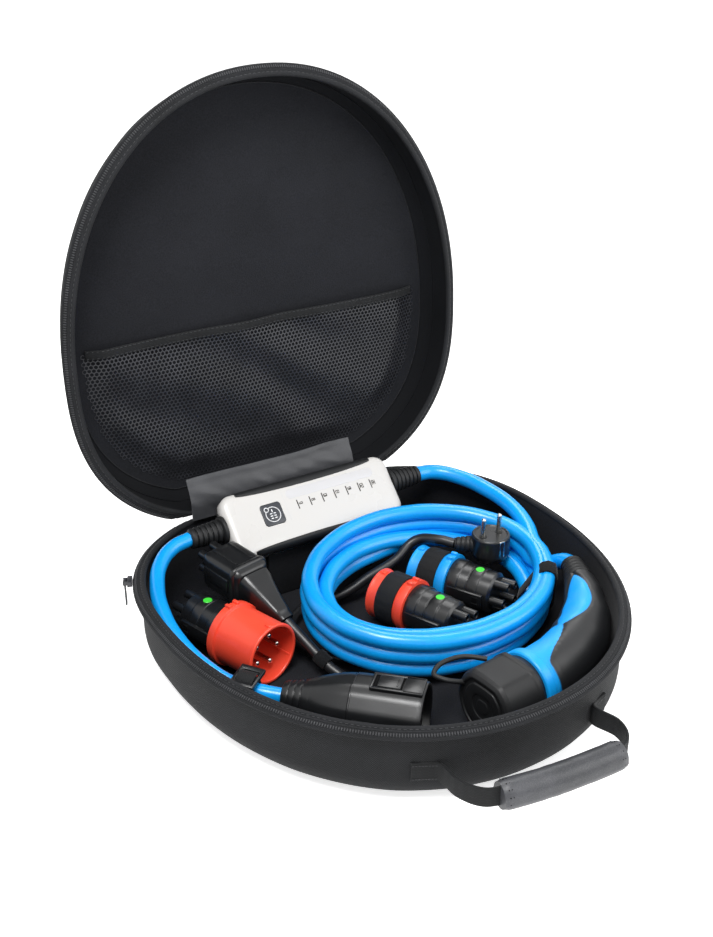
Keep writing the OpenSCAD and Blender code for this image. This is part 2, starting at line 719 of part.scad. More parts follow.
tether_route = [[20, -112.5, 54], [4, -100, 55], [-16, -97, 54], [-29, -104, 52], [-25, -114, 51]];
module cap_tether() color(black) tube(tether_route, 2.2, 8);

// Mains adapters: a coloured sleeve with pins on a black body with five contact tubes.
// Local Z runs from the tubes to the open end of the sleeve.
tube_l = 14;
tube_r = 4.3;
flange_l = 6;
sleeve_base = 6;
function five(r) = [for (k = [0 : 4]) let (a = 18 + 72 * k) [r * cos(a), r * sin(a)]];

module adapter_body(r, l) {
    difference() {
        union() {
            translate([0, 0, tube_l]) cylinder(r = r - 1.5, h = l, $fn = 48);
            translate([0, 0, tube_l + l - 12]) cylinder(r = r, h = 12, $fn = 48);
            for (y = [-1, 1]) translate([-7, y > 0 ? r - 4 : -r - 1, tube_l + 6]) cube([14, 5, l - 6]);
            for (p = five(r * 0.6)) translate([p[0], p[1], 0]) cylinder(r = tube_r, h = tube_l + 1, $fn = 28);
        }
        for (p = five(r * 0.6)) translate([p[0], p[1], -1])
            cylinder(r = tube_r - 1.6, h = tube_l - 1, $fn = 28);
    }
}

module adapter_sleeve(r, z, l) translate([0, 0, z]) difference() {
    union() {
        cylinder(r = r, h = l, $fn = 64);
        cylinder(r = r + flange_w, h = flange_l, $fn = 64);
        translate([0, 0, l - 3]) cylinder(r = r + 0.8, h = 3, $fn = 64);
        translate([r - 1, -4, flange_l - 1]) cube([flange_w + 0.5, 8, l * 0.55]);
    }
    translate([0, 0, sleeve_base]) cylinder(r = r - sleeve_t, h = l, $fn = 64);
}

module adapter_pins(places, r, z, l) for (p = places)
    translate([p[0], p[1], z + sleeve_base]) cylinder(r = r, h = l - sleeve_base - 8, $fn = 24);

cee_body_l = 48;
cee_p = [-154, 124, floor_z + cee_r + flange_w];
cee_q = [-117, 8, floor_z + cee_r + flange_w];
module in_cee() along(cee_p, cee_q) children();
module cee_body() color(black) in_cee() adapter_body(cee_r - 5, cee_body_l);
module cee_sleeve() color(signal_red) in_cee() adapter_sleeve(cee_r, tube_l + cee_body_l, cee_sleeve_l);
module cee_pins() color(metal) in_cee() adapter_pins(five(14), 2.6, tube_l + cee_body_l, cee_sleeve_l);

// The two small adapters lie inside the coil, each in an elastic band
small_body_l = 46;
small_z = floor_z + small_r + flange_w;
band_w = 20;
band_t = 1.3;
band_gap = 0.2;
red_p = [57, -38, small_z];
red_q = [18, 60, small_z];
blue_p = [120, -17, small_z];
blue_q = [72, 79, small_z];
function three(r) = [for (k = [0 : 2]) let (a = 30 + 120 * k) [r * cos(a), r * sin(a)]];
module elastic_band(z) translate([0, 0, z + flange_l + 5]) difference() {
    cylinder(r = small_r + band_gap + band_t, h = band_w, $fn = 56);
    translate([0, 0, -1]) cylinder(r = small_r + band_gap, h = band_w + 2, $fn = 56);
    translate([small_r - 2, -4 - band_gap, -1]) cube([6, 8 + 2 * band_gap, band_w + 2]);
}

module in_red() along(red_p, red_q) children();
module in_blue() along(blue_p, blue_q) children();
module red_body() color(black) in_red() adapter_body(small_r - 1, small_body_l);
module red_sleeve() color(signal_red) in_red() adapter_sleeve(small_r, tube_l + small_body_l, small_sleeve_l);
module red_pins() color(metal) in_red() adapter_pins(five(12), 2.3, tube_l + small_body_l, small_sleeve_l);
module red_band() color(black) in_red() elastic_band(tube_l + small_body_l);
module blue_body() color(black) in_blue() adapter_body(small_r - 1, small_body_l);
module blue_sleeve() color(cable_blue) in_blue() adapter_sleeve(small_r, tube_l + small_body_l, small_sleeve_l);
module blue_pins() color(metal) in_blue() adapter_pins(three(11), 2.3, tube_l + small_body_l, small_sleeve_l);
module blue_band() color(black) in_blue() elastic_band(tube_l + small_body_l);

// Adapter for the mains lead: a boxy body with five contact tubes and a tapered boot
lead_p = [-116, 146, floor_z + 62];
lead_q = [-101, 84, floor_z + 59];
lead_body_l = 50;
lead_w = 40;
lead_h = 38;
boot_tip = [-91, 40, 44];
module lead_adapter() color(black) {
    along(lead_p, lead_q) difference() {
        union() {
            translate([0, 0, tube_l]) linear_extrude(lead_body_l) round_rect(lead_h, lead_w, 8);
            translate([0, 0, tube_l + lead_body_l - 10]) linear_extrude(6)
                round_rect(lead_h + 3, lead_w + 2, 8);
            for (p = five(12)) translate([p[0], p[1], 0]) cylinder(r = tube_r, h = tube_l + 1, $fn = 28);
        }
        for (p = five(12)) translate([p[0], p[1], -1]) cylinder(r = tube_r - 1.6, h = tube_l - 1, $fn = 28);
    }
    start = lead_p + unit(lead_q - lead_p) * (tube_l + lead_body_l - 1);
    along(start, boot_tip) ribbed(15, lead_dia / 2 + 2, norm(boot_tip - start), 0.9);
}

// Mains plug standing pins up, with a side exit for the lead
plug_at = [136, 38, floor_z + 38.5];
plug_exit = lead_route[len(lead_route) - 1];
clip_t = 1;
module plug_body() color(black) {
    translate(plug_at) difference() {
        union() {
            cylinder(r = plug_r, h = plug_h, $fn = 56);
            cylinder(r1 = plug_r - 3, r2 = plug_r, h = 6, $fn = 56);
        }
        for (y = [-1, 1]) translate([-4, y > 0 ? plug_r - clip_t - 1 : -plug_r - 1, 8])
            cube([8, clip_t + 2, plug_h]);
    }
    mid = [plug_at[0], plug_at[1], plug_exit[2]];
    along(mid, plug_exit) translate([0, 0, plug_r - 4])
        ribbed(9, lead_dia / 2 + 1.6, norm(plug_exit - mid) - plug_r + 4, 0.8);
}

module plug_pins() color(metal) translate(plug_at) {
    for (x = [-1, 1]) translate([x * pin_pitch / 2, 0, plug_h]) cylinder(d = pin_dia, h = pin_l, $fn = 32);
    for (y = [-1, 1]) translate([-3, y > 0 ? plug_r - clip_t - 1 : -plug_r + 1, 8.2])
        cube([6, clip_t, plug_h - 9]);
}

base_shell();
base_rim();
lid_shell();
lid_rim();
lid_panel();
mesh_pocket();
pocket_hem();
hinge_strip();
hinge_flap();
zip_slider();
zip_pull();
handle_strap();
handle_grip();
box_back();
box_cover();
box_trim();
box_seal();
light_window();
power_key();
circuit_board();
relays();
sensor_ring();
board_screws();
left_gland();
right_gland();
box_rest();
supply_cable();
vehicle_cable();
cable_coil();
connector_cable();
lead_cable();
coil_tie();
lead_strap();
cable_strap();
strap_buckle();
coupler_rear();
coupler_body();
coupler_insert();
coupler_latch();
connector_boot();
connector_body();
connector_grip();
connector_head();
dust_cap();
cap_tether();
cee_body();
cee_sleeve();
cee_pins();
red_body();
red_sleeve();
red_pins();
red_band();
blue_body();
blue_sleeve();
blue_pins();
blue_band();
lead_adapter();
plug_body();
plug_pins();
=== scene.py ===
"""Dressed model of a portable vehicle charging set in its round carry case.

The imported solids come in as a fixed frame, in metres, with +Z up and the lid's hinge along X at the back.
Each class below dresses one sub-assembly: it holds its sizes in millimetres, builds its meshes in the
frame and puts them on the bodies that carry them.
"""

from __future__ import annotations

import json
import logging
import math
from dataclasses import dataclass
from enum import Enum
from typing import Callable, Iterable, Sequence

import bmesh
import bpy
from mathutils import Matrix, Vector, noise

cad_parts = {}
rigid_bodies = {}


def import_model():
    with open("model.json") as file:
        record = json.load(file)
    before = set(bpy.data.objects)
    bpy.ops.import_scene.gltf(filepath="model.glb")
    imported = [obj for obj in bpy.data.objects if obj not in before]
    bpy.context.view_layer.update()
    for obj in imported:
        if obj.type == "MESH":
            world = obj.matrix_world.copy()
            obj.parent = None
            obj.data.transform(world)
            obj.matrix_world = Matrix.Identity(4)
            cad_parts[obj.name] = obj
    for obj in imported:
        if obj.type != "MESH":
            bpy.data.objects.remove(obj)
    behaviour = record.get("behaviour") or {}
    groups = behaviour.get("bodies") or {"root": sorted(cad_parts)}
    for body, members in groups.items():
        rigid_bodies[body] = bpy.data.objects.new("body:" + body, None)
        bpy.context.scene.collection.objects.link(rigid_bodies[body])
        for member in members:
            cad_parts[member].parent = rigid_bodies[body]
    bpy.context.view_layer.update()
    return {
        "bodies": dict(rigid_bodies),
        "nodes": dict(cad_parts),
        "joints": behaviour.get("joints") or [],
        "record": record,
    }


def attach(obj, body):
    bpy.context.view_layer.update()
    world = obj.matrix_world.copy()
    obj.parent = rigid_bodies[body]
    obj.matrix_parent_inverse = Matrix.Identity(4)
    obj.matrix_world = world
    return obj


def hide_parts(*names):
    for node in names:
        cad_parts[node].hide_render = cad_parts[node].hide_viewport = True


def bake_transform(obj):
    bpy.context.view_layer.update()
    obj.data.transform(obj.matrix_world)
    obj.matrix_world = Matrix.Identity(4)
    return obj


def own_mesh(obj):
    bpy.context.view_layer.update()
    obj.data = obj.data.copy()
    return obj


LOG = logging.getLogger("charger")
MM = 0.001
WELD = 1e-6
Mesh = bmesh.types.BMesh
Tree = bpy.types.NodeTree
Socket = bpy.types.NodeSocket
Solids = dict[str, bpy.types.Object]
Pair = tuple[float, float]
Triple = tuple[float, float, float]
Route = tuple[Triple, ...]


def mm(place: Sequence[float]) -> Vector:
    """Point in metres from a point in millimetres."""
    return Vector(place) * MM


def shift(x: float, y: float, z: float) -> Matrix:
    """Move by millimetres."""
    return Matrix.Translation(mm((x, y, z)))


def spin(degrees: float, axis: str) -> Matrix:
    """Turn about an axis."""
    return Matrix.Rotation(math.radians(degrees), 4, axis)


def polar(radius: float, degrees: float) -> Pair:
    """Point at a radius and an angle."""
    turn = math.radians(degrees)
    return radius * math.cos(turn), radius * math.sin(turn)


def level(outline: Iterable[Pair], z: float) -> list[Vector]:
    """Outline in millimetres as points in metres at a height."""
    return [mm((x, y, z)) for x, y in outline]


def linear(code: str) -> tuple[float, float, float, float]:
    """Linear light, with an alpha of 1, from an sRGB value such as "#rrggbb"."""
    shares = [int(code[k : k + 2], 16) / 255 for k in (1, 3, 5)]
    light = [s / 12.92 if s <= 0.04045 else ((s + 0.055) / 1.055) ** 2.4 for s in shares]
    return (*light, 1.0)


def smooth_step(low: float, high: float, value: float) -> float:
    """Rise smoothly from 0 at low to 1 at high."""
    share = min(max((value - low) / (high - low), 0.0), 1.0)
    return share * share * (3 - 2 * share)


def along(start: Sequence[float], end: Sequence[float]) -> Matrix:
    """Frame whose Z runs from start to end and whose -X points up.

    Args:
        start: Origin of the frame, in millimetres.
        end: Point that Z runs towards, in millimetres.

    Returns:
        The frame's matrix, in metres.
    """
    way = Vector(end) - Vector(start)
    lean = Matrix.Rotation(math.atan2(way.xy.length, way.z), 4, "Y")
    return shift(*start) @ Matrix.Rotation(math.atan2(way.y, way.x), 4, "Z") @ lean


def flow(route: Sequence[Sequence[float]], steps: int) -> list[Vector]:
    """Round a route of points off into a smooth line through them.

    Args:
        route: Points in millimetres.
        steps: New points for each stretch.

    Returns:
        Points of the smooth line, in metres.
    """
    places = [mm(p) for p in route]
    last = len(places) - 1
    line = []
    for i in range(last):
        a, b = places[max(i - 1, 0)], places[i]
        c, d = places[i + 1], places[min(i + 2, last)]
        for k in range(steps):
            t = k / steps
            bend = (2 * a - 5 * b + 4 * c - d) * t * t + (3 * b - 3 * c + d - a) * t**3
            line.append(0.5 * (2 * b + (c - a) * t + bend))
    return [*line, places[last]]


def frames(line: Sequence[Vector]) -> list[tuple[Vector, Vector, Vector]]:
    """Place, sideways and upward directions for each point of a line."""
    found = []
    for i, place in enumerate(line):
        ahead = (line[min(i + 1, len(line) - 1)] - line[max(i - 1, 0)]).normalized()
        side = ahead.cross(Vector((0, 0, 1))).normalized()
        found.append((place, side, side.cross(ahead)))
    return found


def lengths(line: Sequence[Vector]) -> list[float]:
    """Distance run at each point of a line."""
    run = [0.0]
    for a, b in zip(line, line[1:]):
        run.append(run[-1] + (b - a).length)
    return run


def arc(centre: Pair, radius: float, start: float, end: float, steps: int) -> list[Pair]:
    """Points along an arc, with its angles in degrees."""
    spots = [polar(radius, start + (end - start) * k / steps) for k in range(steps + 1)]
    return [(centre[0] + x, centre[1] + y) for x, y in spots]


def round_rect(length: float, width: float, radius: float, steps: int = 8) -> list[Pair]:
    """Outline of a rectangle with round corners, counter-clockwise, in millimetres."""
    made = []
    for k, (sx, sy) in enumerate(((1, 1), (-1, 1), (-1, -1), (1, -1))):
        middle = (sx * (length / 2 - radius), sy * (width / 2 - radius))
        made += arc(middle, radius, 90 * k, 90 * k + 90, steps)
    return made


def fillet(points: Sequence[Pair], radius: float, steps: int = 3) -> list[Pair]:
    """Round the inner corners of an open outline.

    Args:
        points: Corners in millimetres.
        radius: How far from a corner its rounding starts.
        steps: Stretches in each rounding.

    Returns:
        The rounded outline.
    """
    made = [points[0]]
    for a, b, c in zip(points, points[1:], points[2:]):
        corner = Vector(b)
        to_a, to_c = Vector(a) - corner, Vector(c) - corner
        near = corner + to_a.normalized() * min(radius, to_a.length * 0.45)
        far = corner + to_c.normalized() * min(radius, to_c.length * 0.45)
        for k in range(steps + 1):
            t = k / steps
            made.append(tuple((1 - t) ** 2 * near + 2 * t * (1 - t) * corner + t * t * far))
    return [*made, points[-1]]


def grow(bm: Mesh, line: list, edges: list, places: Sequence[Vector]) -> tuple[list, list]:
    """Extrude a row of edges and put the new row where it belongs.

    Args:
        bm: Mesh that grows.
        line: Vertices of the last row.
        edges: Edges of the last row.
        places: Where the new vertices go, in metres.

    Returns:
        Vertices and edges of the new row.
    """
    made = bmesh.ops.extrude_edge_only(bm, edges=edges)["geom"]
    fresh = {g for g in made if isinstance(g, bmesh.types.BMVert)}
    row = [next(e.other_vert(v) for e in v.link_edges if e.other_vert(v) in fresh) for v in line]
    for vert, place in zip(row, places):
        vert.co = place
    joined = [g for g in made if isinstance(g, bmesh.types.BMEdge) and fresh.issuperset(g.verts)]
    return row, joined


def loft(
    rows: Sequence[Sequence[Vector]],
    capped: bool = True,
    paint: Callable[[int], int] = lambda row: 0,
) -> Mesh:
    """Skin over closed rows of points, with a UV map in metres along and across the rows.

    Args:
        rows: Rows of as many points each, in metres.
        capped: Whether both end rows are filled. Otherwise the last lies on the first and is welded to it.
        paint: Material index for the faces after a row.

    Returns:
        The skin.
    """
    bm = bmesh.new()
    layer = bm.loops.layers.uv.new("UVMap")
    first = line = [bm.verts.new(place) for place in rows[0]]
    edges = [bm.edges.new(pair) for pair in zip(line, line[1:] + line[:1])]
    spots = {v: (0, c) for c, v in enumerate(line)}
    for r, places in enumerate(rows[1:], 1):
        line, edges = grow(bm, line, edges, places)
        spots.update({v: (r, c) for c, v in enumerate(line)})
    middle = list(rows[len(rows) // 2])
    across = lengths(middle + middle[:1])
    down = lengths([row[0] for row in rows])
    end = len(middle) - 1
    for face in bm.faces:
        cells = [spots[v] for v in face.verts]
        wraps = {0, end} <= {c for _, c in cells}
        for loop, (r, c) in zip(face.loops, cells):
            loop[layer].uv = (across[end + 1 if wraps and c == 0 else c], down[r])
        face.material_index = paint(min(r for r, _ in cells))
    if capped:
        for verts, row in ((first[::-1], 0), (line, len(rows) - 2)):
            cap = bm.faces.new(verts)
            cap.material_index = paint(row)
            for loop in cap.loops:
                loop[layer].uv = loop.vert.co.xy
    else:
        bmesh.ops.remove_doubles(bm, verts=bm.verts, dist=WELD)
    bmesh.ops.recalc_face_normals(bm, faces=bm.faces)
    return bm


def sweep(line: Sequence[Vector], section: Callable[[int], Sequence[Pair]]) -> Mesh:
    """Skin of sections set across a line.

    Args:
        line: Middle line, in metres.
        section: Section at a point's number, in millimetres to the side and upwards.

    Returns:
        The skin with both ends filled.
    """
    rows = []
    for k, (place, side, up) in enumerate(frames(line)):
        rows.append([place + MM * (u * side + v * up) for u, v in section(k)])
    return loft(rows)


def tube(line: Sequence[Vector], radius: float, sides: int) -> Mesh:
    """Round tube along a line in metres, its radius in millimetres."""
    ring = [polar(radius, 360 * k / sides) for k in range(sides)]
    return sweep(line, lambda _: ring)


def lathe(outline: Sequence[Pair], steps: int) -> Mesh:
    """Turned skin from an outline of radius and height in millimetres, with Z as its axis."""
    bm = bmesh.new()
    line = [bm.verts.new(mm((r, 0, z))) for r, z in outline]
    edges = [bm.edges.new(pair) for pair in zip(line, line[1:])]
    turning = {"cent": (0, 0, 0), "axis": (0, 0, 1), "angle": math.tau, "steps": steps}
    bmesh.ops.spin(bm, geom=line + edges, use_merge=True, **turning)
    bmesh.ops.remove_doubles(bm, verts=bm.verts, dist=WELD)
    bmesh.ops.recalc_face_normals(bm, faces=bm.faces)
    return bm


def rounded(bm: Mesh, edges: list, width: float, segments: int, clamp: bool = False) -> Mesh:
    """Round edges of a mesh off.

    Args:
        bm: Mesh that is changed.
        edges: Its edges to round.
        width: Width of the rounding, in millimetres.
        segments: Faces across the rounding.
        clamp: Whether roundings stop where they would meet.

    Returns:
        The mesh.
    """
    bmesh.ops.bevel(
        bm,
        geom=edges,
        offset=width * MM,
        offset_type="OFFSET",
        segments=segments,
        profile=0.5,
        affect="EDGES",
        clamp_overlap=clamp,
        material=-1,
    )
    return bm


def blocks(
    size: Triple, bevel: float, places: Iterable[Matrix] = (Matrix(),), segments: int = 1
) -> Mesh:
    """Equal boxes with rounded edges.

    Args:
        size: Lengths along X, Y and Z, in millimetres.
        bevel: Width of the rounding, in millimetres.
        places: Frame of each box's middle.
        segments: Faces across the rounding.

    Returns:
        One mesh with all the boxes.
    """
    bm = bmesh.new()
    form = Matrix.Diagonal((*mm(size), 1.0))
    for place in places:
        bmesh.ops.create_cube(bm, size=1.0, matrix=place @ form)
    return rounded(bm, bm.edges[:], bevel, segments)


def softened(solid: bpy.types.Object, width: float) -> Mesh:
    """Copy of a solid with its edges rounded by a width in millimetres."""
    bm = bmesh.new()
    bm.from_mesh(solid.data)
    bmesh.ops.remove_doubles(bm, verts=bm.verts, dist=WELD)
    bmesh.ops.dissolve_limit(bm, angle_limit=math.radians(1), verts=bm.verts, edges=bm.edges)
    crisp = [e for e in bm.edges if e.is_manifold and e.calc_face_angle() > math.radians(30)]
    rounded(bm, crisp, width, 2, clamp=True)
    for face in bm.faces:
        face.material_index = 0
    return bm


class Grain(Enum):
    """How a surface was made, which gives it its fine relief."""

    MOULDED = "moulded"
    WOVEN = "woven"
    WEBBING = "webbing"
    BRUSHED = "brushed cloth"
    LEATHER = "leather"
    TURNED = "turned metal"


def add_node(tree: Tree, kind: str, links: dict | None = None, **settings: object) -> bpy.types.Node:
    """Add a node with its settings, its socket values and the links that reach it.

    Args:
        tree: Node tree of a material or the world.
        kind: Blender's name of the node's type.
        links: Socket name or number to a value or to the socket that feeds it.
        **settings: The node's own options.

    Returns:
        The node.
    """
    node = tree.nodes.new(kind)
    for key, value in settings.items():
        setattr(node, key, value)
    for key, value in (links or {}).items():
        if isinstance(value, Socket):
            tree.links.new(value, node.inputs[key])
        else:
            node.inputs[key].default_value = value
    return node


@dataclass(frozen=True)
class Finish:
    """One material: what it is made of and what its surface shows.

    Attributes:
        name: Common name of the material.
        light: Colour on the high spots.
        dark: Colour in the low spots, where it is painted shade between threads and grain, and in the
            mottles.
        roughness: Mean roughness.
        grain: How the surface was made.
        pitch: Spacing of threads or grain, in millimetres.
        relief: Depth of threads or grain, in millimetres.
        metallic: 1 for bare metal.
        ior: Refractive index of the surface.
        sheen: Weight of the soft edge glow of cloth.
        cloud: Size of the faint mottles, in millimetres.
        second: Colour where the mesh's "grip" attribute is above zero, for a two-shot moulding.
    """

    name: str
    light: str
    dark: str
    roughness: float
    grain: Grain
    pitch: float
    relief: float
    metallic: float = 0.0
    ior: float = 1.5
    sheen: float = 0.0
    cloud: float = 30.0
    second: str = ""

    def material(self) -> bpy.types.Material:
        """Blender material for this finish, made once."""
        found = bpy.data.materials.get(self.name)
        if found:
            return found
        made = bpy.data.materials.new(self.name)
        made.use_nodes = True
        made.diffuse_color = linear(self.light)
        tree = made.node_tree
        shader = tree.nodes["Principled BSDF"].inputs
        shader["Metallic"].default_value = self.metallic
        shader["IOR"].default_value = self.ior
        shader["Sheen Weight"].default_value = self.sheen
        shader["Sheen Roughness"].default_value = 0.4
        spots = add_node(tree, "ShaderNodeTexCoord").outputs
        height = self._height(tree, spots)
        mottle = {"Vector": spots["Object"], "Scale": 1 / (self.cloud * MM), "Detail": 4.0}
        cloud = add_node(tree, "ShaderNodeTexNoise", mottle).outputs["Fac"]
        # The colour follows the relief and the mottles: low spots are darker as painted shade between threads
        # and grain
        blend = add_node(tree, "ShaderNodeMath", {0: height, 1: cloud}, operation="ADD").outputs[0]
        middle = {"Value": blend, "From Min": 0.55, "From Max": 1.45}
        share = add_node(tree, "ShaderNodeMapRange", middle).outputs[0]
        colours = {0: share, 6: linear(self.dark), 7: linear(self.light)}
        tint = add_node(tree, "ShaderNodeMix", colours, data_type="RGBA").outputs[2]
        if self.second:
            tint = self._two_shot(tree, tint)
        tree.links.new(tint, shader["Base Color"])
        gloss = {"Value": cloud, "To Min": self.roughness * 0.86, "To Max": self.roughness * 1.14}
        tree.links.new(add_node(tree, "ShaderNodeMapRange", gloss).outputs[0], shader["Roughness"])
        depth = {"Height": height, "Strength": 0.8, "Distance": self.relief * MM}
        tree.links.new(add_node(tree, "ShaderNodeBump", depth).outputs["Normal"], shader["Normal"])
        return made

    def _two_shot(self, tree: Tree, tint: Socket) -> Socket:
        """Colour of the second shot where the grip attribute is above zero."""
        grip = add_node(tree, "ShaderNodeAttribute", attribute_name="grip").outputs["Fac"]
        border = {"Value": grip, "From Min": -0.02, "From Max": 0.02}
        edge = add_node(tree, "ShaderNodeMapRange", border).outputs[0]
        colours = {0: edge, 6: tint, 7: linear(self.second)}
        return add_node(tree, "ShaderNodeMix", colours, data_type="RGBA").outputs[2]

    def _height(self, tree: Tree, spots: bpy.types.NodeOutputs) -> Socket:
        """Fine relief from 0 to 1 for the finish's grain."""
        if self.grain in (Grain.WOVEN, Grain.WEBBING):
            return self._threads(tree, spots["UV"])
        spread = {"Vector": spots["Object"], "Scale": 1 / (self.pitch * MM)}
        if self.grain is Grain.LEATHER:
            return add_node(tree, "ShaderNodeTexVoronoi", spread).outputs["Distance"]
        spread["Detail"] = 1.0 if self.grain is Grain.TURNED else 3.0
        return add_node(tree, "ShaderNodeTexNoise", spread).outputs["Fac"]

    def _threads(self, tree: Tree, chart: Socket) -> Socket:
        """Crossing threads of a plain weave, or the ribs of a woven tape, on the UV map."""
        split = add_node(tree, "ShaderNodeSeparateXYZ", {0: chart}).outputs
        warp, weft = split["X"], split["Y"]
        if self.grain is Grain.WEBBING:
            rise = 3 * self.pitch * MM
            zigzag = add_node(tree, "ShaderNodeMath", {0: weft, 1: rise}, operation="PINGPONG").outputs[0]
            warp = add_node(tree, "ShaderNodeMath", {0: warp, 1: zigzag}, operation="ADD").outputs[0]
        waves = []
        for run in (warp, weft):
            turn = {0: run, 1: math.tau / (self.pitch * MM)}
            angle = add_node(tree, "ShaderNodeMath", turn, operation="MULTIPLY").outputs[0]
            waves.append(add_node(tree, "ShaderNodeMath", {0: angle}, operation="SINE").outputs[0])
        cross = add_node(tree, "ShaderNodeMath", dict(enumerate(waves)), operation="MULTIPLY").outputs[0]
        return add_node(tree, "ShaderNodeMapRange", {"Value": cross, "From Min": -1.0}).outputs[0]


# Nylon cloth bonded over foam: matt, with a plain weave drawn coarser than the real 0.4 mm so that it shows
CASE_CLOTH = Finish("woven nylon", "#2a2b2d", "#0b0c0d", 0.8, Grain.WOVEN, 2.0, 0.3, ior=1.3, sheen=0.02)
# Woven zip tape: closer and darker than the case cloth
TAPE = Finish("zip tape", "#26272a", "#0e0f10", 0.74, Grain.WEBBING, 1.2, 0.2, ior=1.3, sheen=0.02)
# Brushed lining: short nap with no thread lines
LINING = Finish(
    "brushed lining", "#26272b", "#151619", 0.95, Grain.BRUSHED, 1.3, 0.3, ior=1.25, sheen=0.04, cloud=70
)
# The same lining on the wall of the lid, with less nap; its darker colour is painted shade
LINING_SHADE = Finish(
    "lining with painted shade", "#141518", "#0a0b0d", 0.9, Grain.BRUSHED, 0.9, 0.1, ior=1.25, cloud=70
)
# Knitted polyester net: thin shiny threads
NET_YARN = Finish("knitted net", "#3a3b40", "#161719", 0.42, Grain.BRUSHED, 0.6, 0.1, ior=1.4)
# Nylon zip coil and sewing thread
ZIP_COIL = Finish("zip coil", "#3c3d40", "#1d1e20", 0.5, Grain.BRUSHED, 0.6, 0.05, ior=1.4)
# Coated nylon of the hinge cover: smooth with a faint gloss
COATED_NYLON = Finish("coated nylon", "#4b4c4f", "#303134", 0.42, Grain.WOVEN, 1.1, 0.06, ior=1.4, cloud=18)
# Polypropylene webbing: bold slanting ribs
WEBBING = Finish("ribbed webbing", "#222325", "#090a0a", 0.7, Grain.WEBBING, 1.5, 0.3, ior=1.3, sheen=0.02)
# Hook-and-loop tape: napped, very matt
NAPPED = Finish("napped tape", "#1f2022", "#08090a", 0.95, Grain.BRUSHED, 1.4, 0.6, ior=1.25, sheen=0.08)
# Coated leatherette: pebbled grain, half gloss
LEATHER = Finish("leatherette", "#45464a", "#28292c", 0.4, Grain.LEATHER, 0.8, 0.06)
# Injection-moulded ABS, polished tool: glossy white
WHITE_ABS = Finish("white abs", "#cac8c5", "#c8c6c3", 0.28, Grain.MOULDED, 0.8, 0.01, cloud=60)
# Glass-filled nylon from a spark-eroded tool: fine even grain, half gloss
BLACK_NYLON = Finish("black nylon", "#1a1b1d", "#0d0e0f", 0.29, Grain.MOULDED, 0.7, 0.03)
# Soft moulded rubber: matt with a little bloom
RUBBER = Finish("black rubber", "#1b1c1e", "#101112", 0.52, Grain.MOULDED, 0.9, 0.05, ior=1.4)
# Clear-coated dark key: smooth, half gloss
KEY_DARK = Finish("dark key", "#34373d", "#2a2d33", 0.34, Grain.MOULDED, 0.6, 0.01)
# Printed marks: flat and even
MARK_WHITE = Finish("white print", "#e9e9ea", "#dedee0", 0.5, Grain.MOULDED, 0.5, 0.005)
MARK_GREY = Finish("grey print", "#37312b", "#2a2621", 0.6, Grain.MOULDED, 0.5, 0.005)
# Light bar behind satin acrylic: a shade darker than the cover
LIGHT_BAR = Finish("satin acrylic", "#c6c5c6", "#c2c1c2", 0.35, Grain.MOULDED, 0.8, 0.01)
# Extruded polyurethane sheath: satin, with faint draw marks
BLUE_SHEATH = Finish("blue sheath", "#0ea2f2", "#0a90e2", 0.25, Grain.MOULDED, 2.2, 0.04, cloud=45)
BLACK_SHEATH = Finish("black sheath", "#1f2022", "#131415", 0.38, Grain.MOULDED, 1.6, 0.04)
# Moulded signal colours: even, half gloss
SIGNAL_RED = Finish("red nylon", "#f4523a", "#e6432d", 0.32, Grain.MOULDED, 0.8, 0.03)
SIGNAL_BLUE = Finish("blue nylon", "#0ea2f2", "#0a90e2", 0.38, Grain.MOULDED, 0.8, 0.03)
# Two-shot handle: hard blue core with black soft grips
TWO_SHOT = Finish("two shot grip", "#0ea2f2", "#0a90e2", 0.44, Grain.MOULDED, 0.8, 0.03, second="#18191b")
# Nickel-plated brass, turned: bright metal
NICKEL = Finish("nickel plate", "#d8d8d4", "#b9b9b5", 0.2, Grain.TURNED, 1.5, 0.01, metallic=1.0)
# Zinc slider with black paint: half gloss
ZIP_METAL = Finish("painted zinc", "#34353a", "#1e1f22", 0.34, Grain.TURNED, 1.5, 0.02)
# Inspection dot, a plain vinyl disc: bright green
GREEN_VINYL = Finish("green vinyl", "#45d63f", "#37c433", 0.4, Grain.MOULDED, 1.0, 0.01)
# Painted shade: near-black faces set in holes, slots and gaps
HOLE_SHADE = Finish("painted hole shade", "#08080a", "#050506", 0.8, Grain.MOULDED, 1.0, 0.01, ior=1.2)
# Closed-cell foam: matt and soft
FOAM = Finish("cell foam", "#222326", "#161719", 0.95, Grain.BRUSHED, 1.6, 0.3, ior=1.3)
# Glass-fibre board under solder resist: satin green
BOARD = Finish("circuit board", "#21633f", "#184f31", 0.45, Grain.MOULDED, 1.2, 0.02)


def settle(made: bpy.types.Object, body: str, nodes: Iterable[str]) -> bpy.types.Object:
    """Link an object, put it on its body and in the place of its solids."""
    bpy.context.scene.collection.objects.link(made)
    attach(made, body)
    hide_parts(*nodes)
    LOG.info("%s on %s for %s", made.name, body, ", ".join(nodes) or "no solid")
    return made


